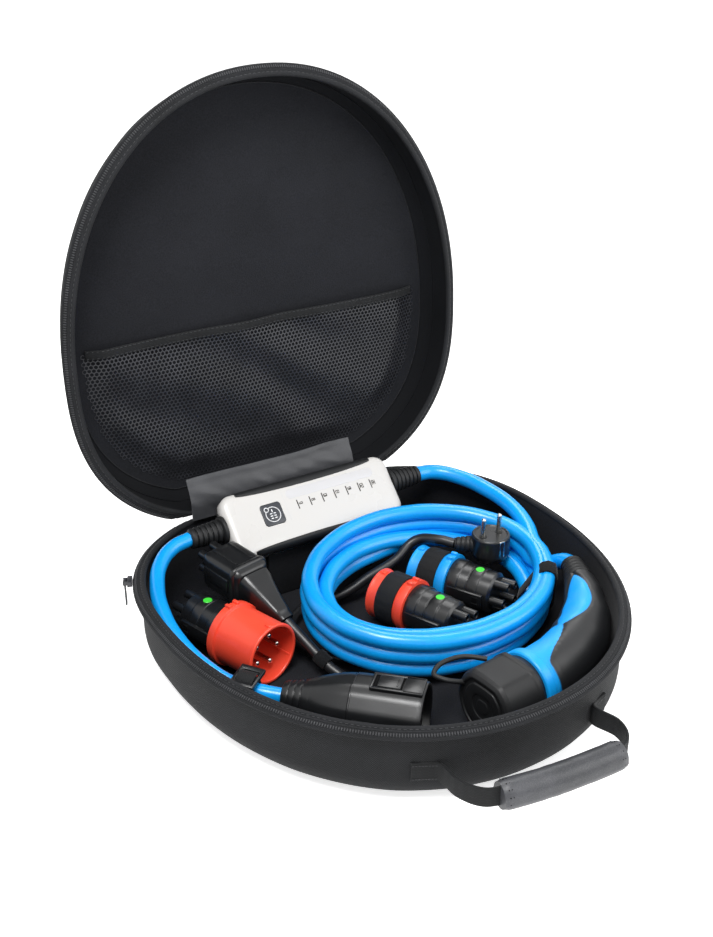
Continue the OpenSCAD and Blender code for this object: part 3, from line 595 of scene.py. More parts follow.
class Piece:
    """One visible piece, gathered from parts of one or more finishes."""

    def __init__(
        self, name: str, body: str, slot: str, finish: Finish, *nodes: str, frame: Matrix = Matrix()
    ) -> None:
        """Start a piece.

        Args:
            name: Name of the piece.
            body: Body that carries it.
            slot: Material slot of the record; not used.
            finish: Finish of the parts that name no other.
            *nodes: Solids that it stands for.
            frame: Frame that its parts are placed in.
        """
        self.name = name
        self.body = body
        self.slot = slot
        self.finish = finish
        self.nodes = nodes
        self.frame = frame
        self.finishes: list[Finish] = []
        self.bm = bmesh.new()
        self.bm.loops.layers.uv.new("UVMap")

    def add(self, part: Mesh, *finishes: Finish, place: Matrix = Matrix()) -> "Piece":
        """Join a part to the piece.

        Args:
            part: The part's mesh, which is used up.
            *finishes: Finish for each material index of the part.
            place: Where the part goes in the piece's frame.

        Returns:
            The piece.
        """
        finishes = finishes or (self.finish,)
        for finish in finishes:
            if finish not in self.finishes:
                self.finishes.append(finish)
        for face in part.faces:
            face.material_index = self.finishes.index(finishes[face.material_index])
        part.transform(self.frame @ place)
        data = bpy.data.meshes.new("part")
        part.to_mesh(data)
        part.free()
        self.bm.from_mesh(data)
        bpy.data.meshes.remove(data)
        return self

    def box(self, size: Triple, at: Triple, bevel: float, finish: Finish | None = None) -> "Piece":
        """Join a rounded box of a size, with its middle at a point, in millimetres."""
        return self.add(blocks(size, bevel, segments=2), finish or self.finish, place=shift(*at))

    def build(self, sharp: float = 38.0) -> bpy.types.Object:
        """Make the object, dress it and put it on its body.

        Args:
            sharp: Edges that turn by more than this many degrees stay crisp.

        Returns:
            The object.
        """
        data = bpy.data.meshes.new(self.name)
        self.bm.to_mesh(data)
        self.bm.free()
        for finish in self.finishes:
            data.materials.append(finish.material())
        data.shade_smooth()
        data.set_sharp_from_angle(angle=math.radians(sharp))
        return settle(bpy.data.objects.new(self.name, data), self.body, self.nodes)


@dataclass(frozen=True)
class CaseOutline:
    """Plan of the case: two half ovals of different depth with a straight back, in millimetres."""

    half_width: float = 208.0
    front: float = 250.0
    back: float = 179.0
    wide_y: float = 42.0
    straight_y: float = 207.0
    front_power: float = 2.115
    back_power: float = 2.555

    def point(self, turn: float, inset: float = 0.0) -> Pair:
        """Point of the outline at an angle, moved inwards by an inset."""
        c, s = math.cos(turn), math.sin(turn)
        power = 2 / (self.front_power if s < 0 else self.back_power)
        depth = (self.front if s < 0 else self.back) - inset
        x = math.copysign(abs(c) ** power, c) * (self.half_width - inset)
        y = self.wide_y + depth * math.copysign(abs(s) ** power, s)
        return x, min(y, self.straight_y - inset)

    def turns(self, count: int) -> list[float]:
        """Angles that split the outline into equal stretches."""
        fine = [math.tau * k / 2880 for k in range(2881)]
        run = lengths([Vector((*self.point(t), 0)) for t in fine])
        found, k = [], 0
        for i in range(count):
            while run[k + 1] < run[-1] * i / count:
                k += 1
            share = (run[-1] * i / count - run[k]) / max(run[k + 1] - run[k], 1e-9)
            found.append(fine[k] + share * (fine[k + 1] - fine[k]))
        return found

    def holds(self, x: float, y: float, inset: float) -> bool:
        """Whether a point lies inside the outline moved inwards by an inset."""
        front = y < self.wide_y
        depth = (self.front if front else self.back) - inset
        power = self.front_power if front else self.back_power
        share = abs(x / (self.half_width - inset)) ** power + abs((y - self.wide_y) / depth) ** power
        return share < 1 and y < self.straight_y - inset


@dataclass(frozen=True)
class CaseSizes:
    """Heights and insets of the case, in millimetres and degrees."""

    edge_z: float = 73.0
    hinge_y: float = 207.0
    hinge_z: float = 76.3
    lid_top: float = 126.6
    lid_open: float = 92.85
    panel_z: float = 120.1
    net_z: float = 112.1
    net_inset: float = 25.0
    net_pitch: float = 4.2
    yarn: float = 0.56
    pocket_y: float = 39.0
    hem: float = 9.0
    hem_half: float = 181.0
    flap_from: float = -108.0
    flap_to: float = 76.0
    strip_half: float = 98.0


@dataclass
class Case:
    """Zip-round case: shells, zip, lid lining, net pocket and cloth hinge."""

    plan: CaseOutline = CaseOutline()
    sizes: CaseSizes = CaseSizes()
    columns: int = 288

    def __post_init__(self) -> None:
        """Work out the place of the open lid and where the columns of the skins stand."""
        pin = shift(0, self.sizes.hinge_y, self.sizes.hinge_z)
        self.open_lid = pin @ spin(-self.sizes.lid_open, "X") @ pin.inverted()
        self.turns = self.plan.turns(self.columns)

    def build(self) -> None:
        """Build every piece of the case."""
        self._shells()
        self._zip()
        self._lining()
        self._net()
        self._hem()
        self._flap()
        self._strip()

    def _ring(self, inset: float, z: float, sway: float = 0.0) -> list[Vector]:
        """Outline at an inset and a height, with the soft unevenness of cloth over foam."""
        row = []
        for turn in self.turns:
            place = mm((*self.plan.point(turn, inset), z))
            if sway:
                place = mm((*self.plan.point(turn, inset + sway * noise.noise(place * 26)), z))
            row.append(place)
        return row

    def _shells(self) -> None:
        """Bottom and lid shells."""
        top = self.sizes.edge_z
        outside = [*arc((29, 28), 28, 270, 180, 10), (1, 40), (1, 56), (1, 68), (1, top)]
        inside = [(5, top), (5, 60), (5, 44), *arc((29, 28), 24, 180, 270, 8)]
        base = Piece("base_wall", "base", "case_cloth", CASE_CLOTH, "base_shell")
        self._shell(base, outside, inside, (0, 4), (3, 70), LINING)
        low = 2 * self.sizes.hinge_z - top
        high = self.sizes.lid_top
        outside = [*arc((27, high - 26), 26, 90, 180, 10), (1, 94), (1, 86), (1, low)]
        inside = [(5, low), (5, 90), *arc((27, high - 26), 22, 180, 90, 8)]
        lid = Piece("lid_wall", "lid", "case_cloth", CASE_CLOTH, "lid_shell", frame=self.open_lid)
        # The lid's inner wall takes the lining darkened as painted shade
        self._shell(lid, outside, inside, (high, high - 4), (low + 2, high - 5), LINING_SHADE)

    def _shell(
        self, piece: Piece, outside: list[Pair], inside: list[Pair], floor: Pair, soft: Pair, lining: Finish
    ) -> None:
        """Cloth outside and lining inside.

        Args:
            piece: Piece that the shell goes to.
            outside: Inset and height of the outer wall, from the flat to the rim.
            inside: Inset and height of the inner wall, from the rim to the flat.
            floor: Height of the flat, outside and inside.
            soft: Heights between which the wall is uneven.
            lining: Finish of the inner wall.
        """
        rows = [(60, floor[0]), (40, floor[0]), *outside, *inside, (40, floor[1]), (60, floor[1])]
        rings = [self._ring(i, z, 0.5 if soft[0] < z < soft[1] else 0) for i, z in rows]
        skin = loft(rings, paint=lambda row: int(row > len(outside) + 1))
        piece.add(skin, CASE_CLOTH, lining).build()

    def _rim_outline(self) -> list[Pair]:
        """Section of the zip tape on the base, as inset and height: lip, ribbed slope and bound bead."""
        slope = []
        for k in range(19):
            t = k / 18
            rib = 0.45 * max(math.sin(t * math.tau * 2.5), 0) if 1 < k < 17 else 0
            slope.append((-5.4 + 5.4 * t - 0.595 * rib, 70.8 + 3.6 * t + 0.804 * rib))
        lip = fillet([(1, 73), (-5, 68.5), (-6, 69.5), (-5.4, 70.8)], 0.8)
        bead = [(0.9, 74.3), *arc((3.4, 73.9), 2.3, 165, 0, 9), (5.8, 73)]
        return [*lip[:-1], *slope, *bead]

    def _marks(self, count: int, inset: float, z: float, back: float) -> list[Matrix]:
        """Frames spread evenly along the zip up to the hinge, with the slope of its tape."""
        slant = Matrix.Rotation(math.atan2(3.6, 5.4), 4, "X")
        found = []
        for turn in self.plan.turns(count):
            x, y = self.plan.point(turn, inset)
            ahead = self.plan.point(turn + 0.002, inset)
            lie = math.atan2(ahead[1] - y, ahead[0] - x)
            if y < back - 4:
                found.append(shift(x, y, z) @ Matrix.Rotation(lie, 4, "Z") @ slant)
        return found

    def _zip(self) -> None:
        """Zip tapes on both rims, with their teeth and stitches."""
        back = self.sizes.hinge_y - 1
        mirror = shift(0, 0, 2 * self.sizes.hinge_z) @ Matrix.Scale(-1, 4, (0, 0, 1))
        section = self._rim_outline()
        for name, body, node, place in (
            ("base_edge", "base", "base_rim", Matrix()),
            ("lid_edge", "lid", "lid_rim", self.open_lid @ mirror),
        ):
            rows = []
            for turn in [*self.turns, self.turns[0]]:
                spots = [(*self.plan.point(turn, inset), z) for inset, z in section]
                rows.append([mm((x, min(y, back), z)) for x, y, z in spots])
            teeth = blocks((1.1, 2.9, 0.9), 0.25, self._marks(620, -3.1, 72.7, back))
            stitches = blocks((2.4, 0.5, 0.4), 0.1, self._marks(300, 1.3, 75.0, back))
            piece = Piece(name, body, "zip_tape", TAPE, node)
            for part, finish in ((loft(rows, capped=False), TAPE), (teeth, ZIP_COIL), (stitches, ZIP_COIL)):
                part.transform(place)
                bmesh.ops.recalc_face_normals(part, faces=part.faces)
                piece.add(part, finish)
            piece.build(sharp=55)

    def _lining(self) -> None:
        """Padded lining board of the lid with a welt round its edge."""
        z = self.sizes.panel_z
        bend = (27, self.sizes.lid_top - 26)
        wall = [(120, z + 2.4), (40, z + 2.4), *arc(bend, 21.9, 94, 170, 9), *arc(bend, 21.2, 170, 132, 6)]
        panel = [(14.2, z - 3.6), (17, z - 2.9), (22, z - 2.4), (34, z - 2.1), (50, z - 1.9), (70, z - 1.8)]
        panel += [(95, z - 1.8), (120, z - 1.8)]
        rings = [self._ring(i, h) for i, h in wall + panel]
        piece = Piece("lid_lining", "lid", "lining", LINING, "lid_panel", frame=self.open_lid)
        # The wall rows take the lining darkened as painted shade
        piece.add(loft(rings, paint=lambda row: int(row < len(wall))), LINING, LINING_SHADE)
        welt = []
        for turn in [*self.turns, self.turns[0]]:
            x, y = self.plan.point(turn, 14.4)
            ahead = Vector((*self.plan.point(turn + 0.01, 14.4), 0)) - Vector((x, y, 0))
            side = Vector((ahead.y, -ahead.x, 0)).normalized()
            ring = [polar(0.7, 45 * k) for k in range(8)]
            welt.append([mm(Vector((x, y, z - 3.5 + v)) + u * side) for u, v in ring])
        made = piece.add(loft(welt, capped=False), TAPE).build(sharp=60)

    def _net_drop(self, x: float, y: float) -> float:
        """Height of the net over the lining at a point of the closed lid."""
        low, high = 0.0, 60.0
        for _ in range(9):
            half = (low + high) / 2
            low, high = (half, high) if self.plan.holds(x, y, self.sizes.net_inset + half) else (low, half)
        free = smooth_step(0, 24, low)
        swirl = 2.4 * noise.noise(mm((x, y, 0)) * 7)
        folds = 2.6 * math.sin((x * 0.55 - y) * 0.085 + swirl) + 1.5 * noise.noise(mm((x, y, 40)) * 15)
        return 3.2 + free * (self.sizes.panel_z - self.sizes.net_z - 3.2 + folds * 0.8)

    def _net(self) -> None:
        """Net of six-sided holes, sewn in round the edge and open along the hem."""
        pitch = self.sizes.net_pitch
        bm = bmesh.new()
        found: dict[tuple[int, int], bmesh.types.BMVert] = {}
        row = 0
        y = self.sizes.pocket_y - 3
        while y < self.plan.straight_y:
            x = -self.plan.half_width + (pitch / 2 if row % 2 else 0)
            while x < self.plan.half_width:
                if self.plan.holds(x, y, self.sizes.net_inset):
                    verts = []
                    for u, v in (polar(pitch / math.sqrt(3), 60 * k + 30) for k in range(6)):
                        key = (round((x + u) * 20), round((y + v) * 20))
                        if key not in found:
                            z = self.sizes.panel_z - self._net_drop(x + u, y + v)
                            found[key] = bm.verts.new(mm((x + u, y + v, z)))
                        verts.append(found[key])
                    bm.faces.new(verts)
                x += pitch
            y += pitch * math.sqrt(3) / 2
            row += 1
        bm.normal_update()
        cells = bm.faces[:]
        bmesh.ops.inset_individual(bm, faces=cells, thickness=self.sizes.yarn * MM, use_even_offset=True)
        bmesh.ops.delete(bm, geom=cells, context="FACES_ONLY")
        area = sum(face.calc_area() for face in bm.faces)
        made = Piece("pocket_net", "lid", "net", NET_YARN, "mesh_pocket", frame=self.open_lid).add(bm).build()
        LOG.info("net yarn area %.4f", area)

    def _hem(self) -> None:
        """Bound edge of the pocket with two rows of stitches."""
        mid = self.sizes.pocket_y - self.sizes.hem / 2
        rows, spots = [], []
        for k in range(81):
            x = self.sizes.hem_half * (k / 40 - 1)
            z = self.sizes.panel_z - self._net_drop(x * 0.985, self.sizes.pocket_y + 2)
            z += 0.5 * noise.noise(mm((x, 0, 0)) * 30)
            rows.append([mm((x, mid + u, z + v - 0.6)) for u, v in round_rect(self.sizes.hem, 2.0, 0.9, 3)])
            spots.append((x, z))
        stitches = []
        for (x, z), (far, tall) in zip(spots, spots[1:]):
            stitches += [shift((x + far) / 2, mid + side, (z + tall) / 2 - 1.6) for side in (-3.2, 3.2)]
        piece = Piece("pocket_binding", "lid", "webbing", WEBBING, "pocket_hem", frame=self.open_lid)
        piece.add(loft(rows)).add(blocks((2.6, 0.5, 0.4), 0.1, stitches), ZIP_COIL).build()

    def _flap(self) -> None:
        """Loose nylon cover over the hinge, creased where it folds as the lid shuts."""
        size = self.sizes
        rows = []
        for k in range(65):
            t = k / 64
            x = size.flap_from + (size.flap_to - size.flap_from) * t
            front, rear = [], []
            for j in range(19):
                s = j / 18
                edge = 1.5 * math.sin(t * 9) * s
                crease = 3.0 * noise.noise(Vector((t * 5.2, s * 1.4, 3.1))) * s
                crease += 1.5 * noise.noise(Vector((t * 13 + s * 4, s * 3, 8.2))) * math.sin(math.pi * s)
                y = 198.6 + 11.4 * s + crease - 4.2 * math.sin(math.pi * s) ** 2
                z = 76.6 + 40.4 * s + edge * 0.4
                half = 0.45 + 0.6 * smooth_step(0.84, 0.9, s) * (1 - smooth_step(0.95, 1.0, s))
                front.append(mm((x + edge, y - half, z)))
                rear.append(mm((x + edge, y + half, z)))
            rows.append(front + rear[::-1])
        made = Piece("hinge_cover", "base", "lining", COATED_NYLON, "hinge_flap").add(loft(rows)).build()
        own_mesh(made)

    def _strip(self) -> None:
        """Cloth tape that joins the shells at the hinge."""
        corners = [(206, 51.3), (207.2, 51.3), (207.2, 72.9), (208.2, 74.1), (238, 74.1), (238, 75.3)]
        corners += [(207.4, 75.3), (206, 74.1)]
        fine = []
        for a, b in zip(corners, corners[1:] + corners[:1]):
            steps = max(int(math.dist(a, b) / 2.5), 1)
            wide, tall = b[0] - a[0], b[1] - a[1]
            fine += [(a[0] + wide * k / steps, a[1] + tall * k / steps) for k in range(steps)]
        half = self.sizes.strip_half
        rows = [[mm((-half + 2 * half * k / 40, y, z)) for y, z in fine] for k in range(41)]
        made = Piece("hinge_tape", "base", "zip_tape", TAPE, "hinge_strip").add(loft(rows)).build()
        made.parent = None
        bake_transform(made)


@dataclass
class Handle:
    """Webbing carry handle with a leatherette grip on the front of the case.

    Attributes:
        plan: Plan of the case that the strap is sewn to.
        tabs: Where both sewn ends start and stop, in 64ths of a turn round the plan.
        bridge: Middle line of the free strap, in millimetres.
        height: Height of the middle line, in millimetres.
    """

    plan: CaseOutline
    tabs: tuple[Pair, Pair] = ((43, 44), (51, 52))
    bridge: tuple[Pair, ...] = (
        (-82, -212), (-74, -229), (-60, -237), (-24, -243.2),
        (14, -246.6), (50, -248), (64, -240), (70, -222),
    )
    height: float = 35.0

    def build(self) -> None:
        """Build the strap, its stitched ends and the grip."""
        ends = [[self.plan.point(math.tau * k / 64, -0.25) for k in pair] for pair in self.tabs]
        line = flow([(x, y, self.height) for x, y in [*ends[0], *self.bridge, *ends[1]]], 10)
        piece = Piece("carry_strap", "base", "webbing", WEBBING, "handle_strap")
        piece.add(sweep(line, lambda _: round_rect(2.5, 18.0, 0.9, 3)))
        marks = []
        for pair in ends:
            start, end = (Vector((*spot, self.height)) for spot in pair)
            for k in range(8):
                far = (end - start).length * (k + 0.5) / 8
                spots = [(across, out) for across in (-6.5, 6.5) for out in (1.35, -1.35)]
                marks += [along(start, end) @ shift(across, out, far) for across, out in spots]
        piece.add(blocks((0.5, 0.4, 1.8), 0.1, marks), ZIP_COIL).build()
        self._grip()

    def _grip(self) -> None:
        """Leatherette sleeve sewn shut round the strap, with a lapped seam."""
        line = flow([(x, y, self.height) for x, y in self.bridge[2:6]], 12)
        run = lengths(line)

        def section(k: int) -> list[Pair]:
            """Creased oval, tucked in at both ends."""
            t = run[k] / run[-1]
            radius = 12.3 - 1.2 * (1 - smooth_step(0, 0.05, t) * smooth_step(1, 0.95, t))
            row = []
            for turn in (math.tau * j / 48 for j in range(48)):
                lap = 0.45 * smooth_step(5.6, 5.75, turn) * (1 - smooth_step(6.2, 6.28, turn))
                crease = 0.35 * noise.noise(Vector((t * 16, math.cos(turn) * 2, math.sin(turn) * 2)))
                r = radius + lap + crease
                row.append((r * math.cos(turn) * 0.94, r * math.sin(turn)))
            return row

        holes = []
        spots = frames(line)
        for place, side, up in (*spots[2:4], *spots[-4:-2]):
            for turn in (0.4, 0.9, 1.4, 1.9, 2.4, -0.1):
                out = math.cos(turn) * side * 0.94 + math.sin(turn) * up
                holes.append(Matrix.Translation(place + 12.1 * MM * out))
        piece = Piece("carry_grip", "base", "grip_leather", LEATHER, "handle_grip").add(sweep(line, section))
        # The stitch holes are near-black cubes of painted shade
        piece.add(blocks((0.9, 0.9, 0.9), 0.25, holes), HOLE_SHADE).build(sharp=50)


class Segment(Enum):
    """Bars of a small printed figure: middle x, middle y, width and height as shares of its height."""

    TOP = (0.0, 0.5, 0.6, 0.2)
    MIDDLE = (0.0, 0.0, 0.6, 0.2)
    FLOOR = (0.0, -0.5, 0.6, 0.2)
    HIGH_LEFT = (-0.25, 0.25, 0.2, 0.6)
    HIGH_RIGHT = (0.25, 0.25, 0.2, 0.6)
    LOW_LEFT = (-0.25, -0.25, 0.2, 0.6)
    LOW_RIGHT = (0.25, -0.25, 0.2, 0.6)


@dataclass
class ControlBox:
    """White control unit with its light bar, key, rubber edges and cable glands.

    Attributes:
        place: Middle of the box's face, in millimetres.
        tilt: How far the face leans forward, in degrees.
        length: Length of the cover, in millimetres.
        width: Width of the cover, in millimetres.
        corner: Radius of the cover's corners, in millimetres.
        key_at: Middle of the key on the face, in millimetres.
        key_side: Width of the key, in millimetres.
        key_corner: Radius of the key's corners, in millimetres.
        figure: Height of a printed figure, in millimetres.
        steps: Numbers printed along the light bar.
    """

    place: Triple = (2, 150, 87)
    tilt: float = 44.0
    length: float = 188.0
    width: float = 66.0
    corner: float = 13.0
    key_at: Pair = (-46.0, 2.0)
    key_side: float = 22.0
    key_corner: float = 3.4
    figure: float = 3.4
    steps: tuple[str, ...] = ("6", "8", "10", "13", "16", "20", "32")
    RIGHT_BARS = (Segment.HIGH_RIGHT, Segment.LOW_RIGHT)
    FIGURES = {
        "0": tuple(s for s in Segment if s is not Segment.MIDDLE),
        "1": RIGHT_BARS,
        "2": (Segment.TOP, Segment.HIGH_RIGHT, Segment.MIDDLE, Segment.LOW_LEFT, Segment.FLOOR),
        "3": (Segment.TOP, Segment.MIDDLE, Segment.FLOOR, *RIGHT_BARS),
        "6": tuple(s for s in Segment if s is not Segment.HIGH_RIGHT),
        "8": tuple(Segment),
    }

    def __post_init__(self) -> None:
        """Set the box's tilted frame, with its face in the XY plane."""
        self.frame = shift(*self.place) @ spin(self.tilt, "X")

    def build(self) -> None:
        """Build every piece of the control unit that is shaped here."""
        self._cover()
        self._edges()
        self._face()
        self._key()
        self._glands()

    def _cover(self) -> None:
        """Rounded white cover with a parting groove and the well of the key."""
        rows = []
        profile = [(1.2, -16), (0.9, -15.4), (0, -14.6), (0, -10), (0, -6), (0.6, -4.2), (1.5, -2.8)]
        profile += [(3, -1.6), (5.2, -0.7), (8.4, -0.15), (12.4, 0), (16, 0.05)]
        for inset, z in profile:
            corner = max(self.corner - inset * 0.75, 3)
            rows.append(level(round_rect(self.length - 2 * inset, self.width - 2 * inset, corner, 10), z))
        for gap, z in ((1.0, 0.05), (0.5, 0.05), (0.3, -0.15), (0.3, -6)):
            side = self.key_side + 2 * gap
            outline = round_rect(side, side, self.key_corner + gap, 10)
            rows.append([mm((self.key_at[0] + x, self.key_at[1] + y, z)) for x, y in outline])
        piece = Piece("box_lid", "base", "cover_white", WHITE_ABS, "box_cover", frame=self.frame)
        piece.add(loft(rows)).build(sharp=50)

    def _edges(self) -> None:
        """Rubber strips along both long edges, widest in the middle."""
        piece = Piece("edge_strips", "base", "soft_rubber", RUBBER, "box_trim", frame=self.frame)
        for hand, over in ((-1, 0.8), (1, 2.4)):
            rows = []
            for k in range(61):
                x = -76 + 152 * k / 60
                wide = 0.1 + 0.9 * max(math.cos(math.pi * x / 156), 0) ** 0.38
                lip = (4.2 + over) * wide
                shape = [(32.6, -4 - 8 * wide), (33.6, -4 - 7.2 * wide), (33.8, -6.5), (33.4, -4)]
                shape += [(32.2, -1.9), (30.2, 0.1), (31.6 - lip + 0.8 * wide, 0.75)]
                shape += [(31.2 - lip, 0.45), (30.8 - lip, -1.4), (30.5, -5)]
                rows.append([mm((x, hand * y, z)) for y, z in shape])
            piece.add(loft(rows))
        piece.build(sharp=50)

    @staticmethod
    def _slab(length: float, width: float, corner: float, low: float, high: float) -> Mesh:
        """Thin plate with round corners and a soft top edge, in millimetres."""
        rows = []
        for inset, z in ((0, low), (0, high - 0.3), (0.15, high - 0.1), (0.5, high)):
            rows.append(level(round_rect(length - 2 * inset, width - 2 * inset, corner - inset, 6), z))
        return loft(rows)

    def _face(self) -> None:
        """Light bar with its scale, and the printed line below it."""
        bar = Piece("light_bar", "base", "window_grey", LIGHT_BAR, "light_window", frame=self.frame)
        bar.add(self._slab(100, 10, 4.5, -2, 0.2), place=shift(24, 17, 0)).build()
        marks, ticks = [], []
        for k, figure in enumerate(self.steps):
            middle = -17 + 14 * k
            ticks.append(shift(middle, 4.6, 0.1))
            for j, sign in enumerate(figure):
                low = 5.2 + (j - (len(figure) - 1) / 2) * 2.5
                for segment in self.FIGURES[sign]:
                    x, y, w, h = (self.figure * share for share in segment.value)
                    size = Matrix.Diagonal((h, w, 1.0, 1.0))
                    marks.append(shift(middle + self.figure - y, low + x, 0.1) @ size)
        piece = Piece("face_print", "base", "key_dark", MARK_GREY, frame=self.frame)
        piece.add(blocks((1.0, 1.0, 0.2), 0.02, marks)).add(blocks((1.15, 9.5, 0.2), 0.05, ticks))
        piece.box((0.4, 30, 0.2), (-29.5, 6, 0.05), 0.05, LIGHT_BAR).build()

    def _key(self) -> None:
        """Square key with a ring sign and short bars inside it."""
        frame = self.frame @ shift(*self.key_at, 0)
        piece = Piece("start_key", "key", "key_dark", KEY_DARK, "power_key", frame=frame)
        piece.add(self._slab(self.key_side, self.key_side, self.key_corner, -3, 0.4))
        for radius, middle, start, turn in ((7.6, (0, -0.4), 150, 330), (2.2, (-5.4, 5.4), 0, 360)):
            ring = level(arc(middle, radius, start, start + turn, 40), 0.42)
            piece.add(tube(ring, 0.45, 6), MARK_WHITE)
        bars = [shift(x, y, 0.4) for x in (-2.0, 2.0) for y in (-4.2, -1.8, 0.6)]
        piece.add(blocks((2.6, 1.0, 0.3), 0.05, bars), MARK_WHITE)
        piece.box((1.0, 3.2, 0.3), (0, 3.4, 0.4), 0.05, MARK_WHITE).build()

    def _glands(self) -> None:
        """Ribbed bend protectors at both ends."""
        outline = [(0, 0), (13.6, 0), (13.6, 3.5), (12.2, 4)]
        for low in range(5, 35, 5):
            r = 12 - 2.5 * (low / 36)
            rib = [(-1.6, 0), (-1.6, 1.2), (0, 1.4), (-0.1, 4.6), (-0.6, 5)]
            outline += [(r + out, low + up) for out, up in rib]
        outline += [(8.6, 36), (7.2, 36.2), (0, 36)]
        for hand, name, node in ((-1, "left_sleeve", "left_gland"), (1, "right_sleeve", "right_gland")):
            frame = self.frame @ shift(hand * 94, 4, -14) @ spin(hand * 90, "Y")
            piece = Piece(name, "base", "soft_rubber", RUBBER, node, frame=frame)
            piece.add(lathe(fillet(outline, 0.5, 2), 48)).build(sharp=50)


@dataclass(frozen=True)
class CordSizes:
    """One cord.

    Attributes:
        slot: Material slot of the record; not used.
        finish: Its sheath.
        thick: Diameter in millimetres.
        nodes: Solids that it stands for.
        far_end: What its far end carries; not used.
        lay: How it lies; not used.
        stiffness: How stiff it is; not used.
        pieces: Pieces that hang on its far end; not used.
    """

    slot: str
    finish: Finish
    thick: float
    nodes: tuple[str, ...]
    far_end: str
    lay: str
    stiffness: str
    pieces: tuple[str, ...]


class Cord(Enum):
    """The three cords, each named as its piece."""

    SUPPLY_CORD = CordSizes(
        "cable_blue", BLUE_SHEATH, 14.0, ("supply_cable",), "connector", "loose", "stiff",
        ("coupler_tail", "coupler_shell", "coupler_face"),
    )
    VEHICLE_CORD = CordSizes(
        "cable_blue", BLUE_SHEATH, 15.6, ("vehicle_cable", "cable_coil", "connector_cable"), "connector",
        "coiled", "stiff",
        ("connector_collar", "connector_handle", "connector_nose", "connector_cap", "cap_leash"),
    )
    MAINS_CORD = CordSizes(
        "lead_black", BLACK_SHEATH, 9.6, ("lead_cable",), "plug", "loose", "medium",
        ("mains_plug", "mains_contacts"),
    )


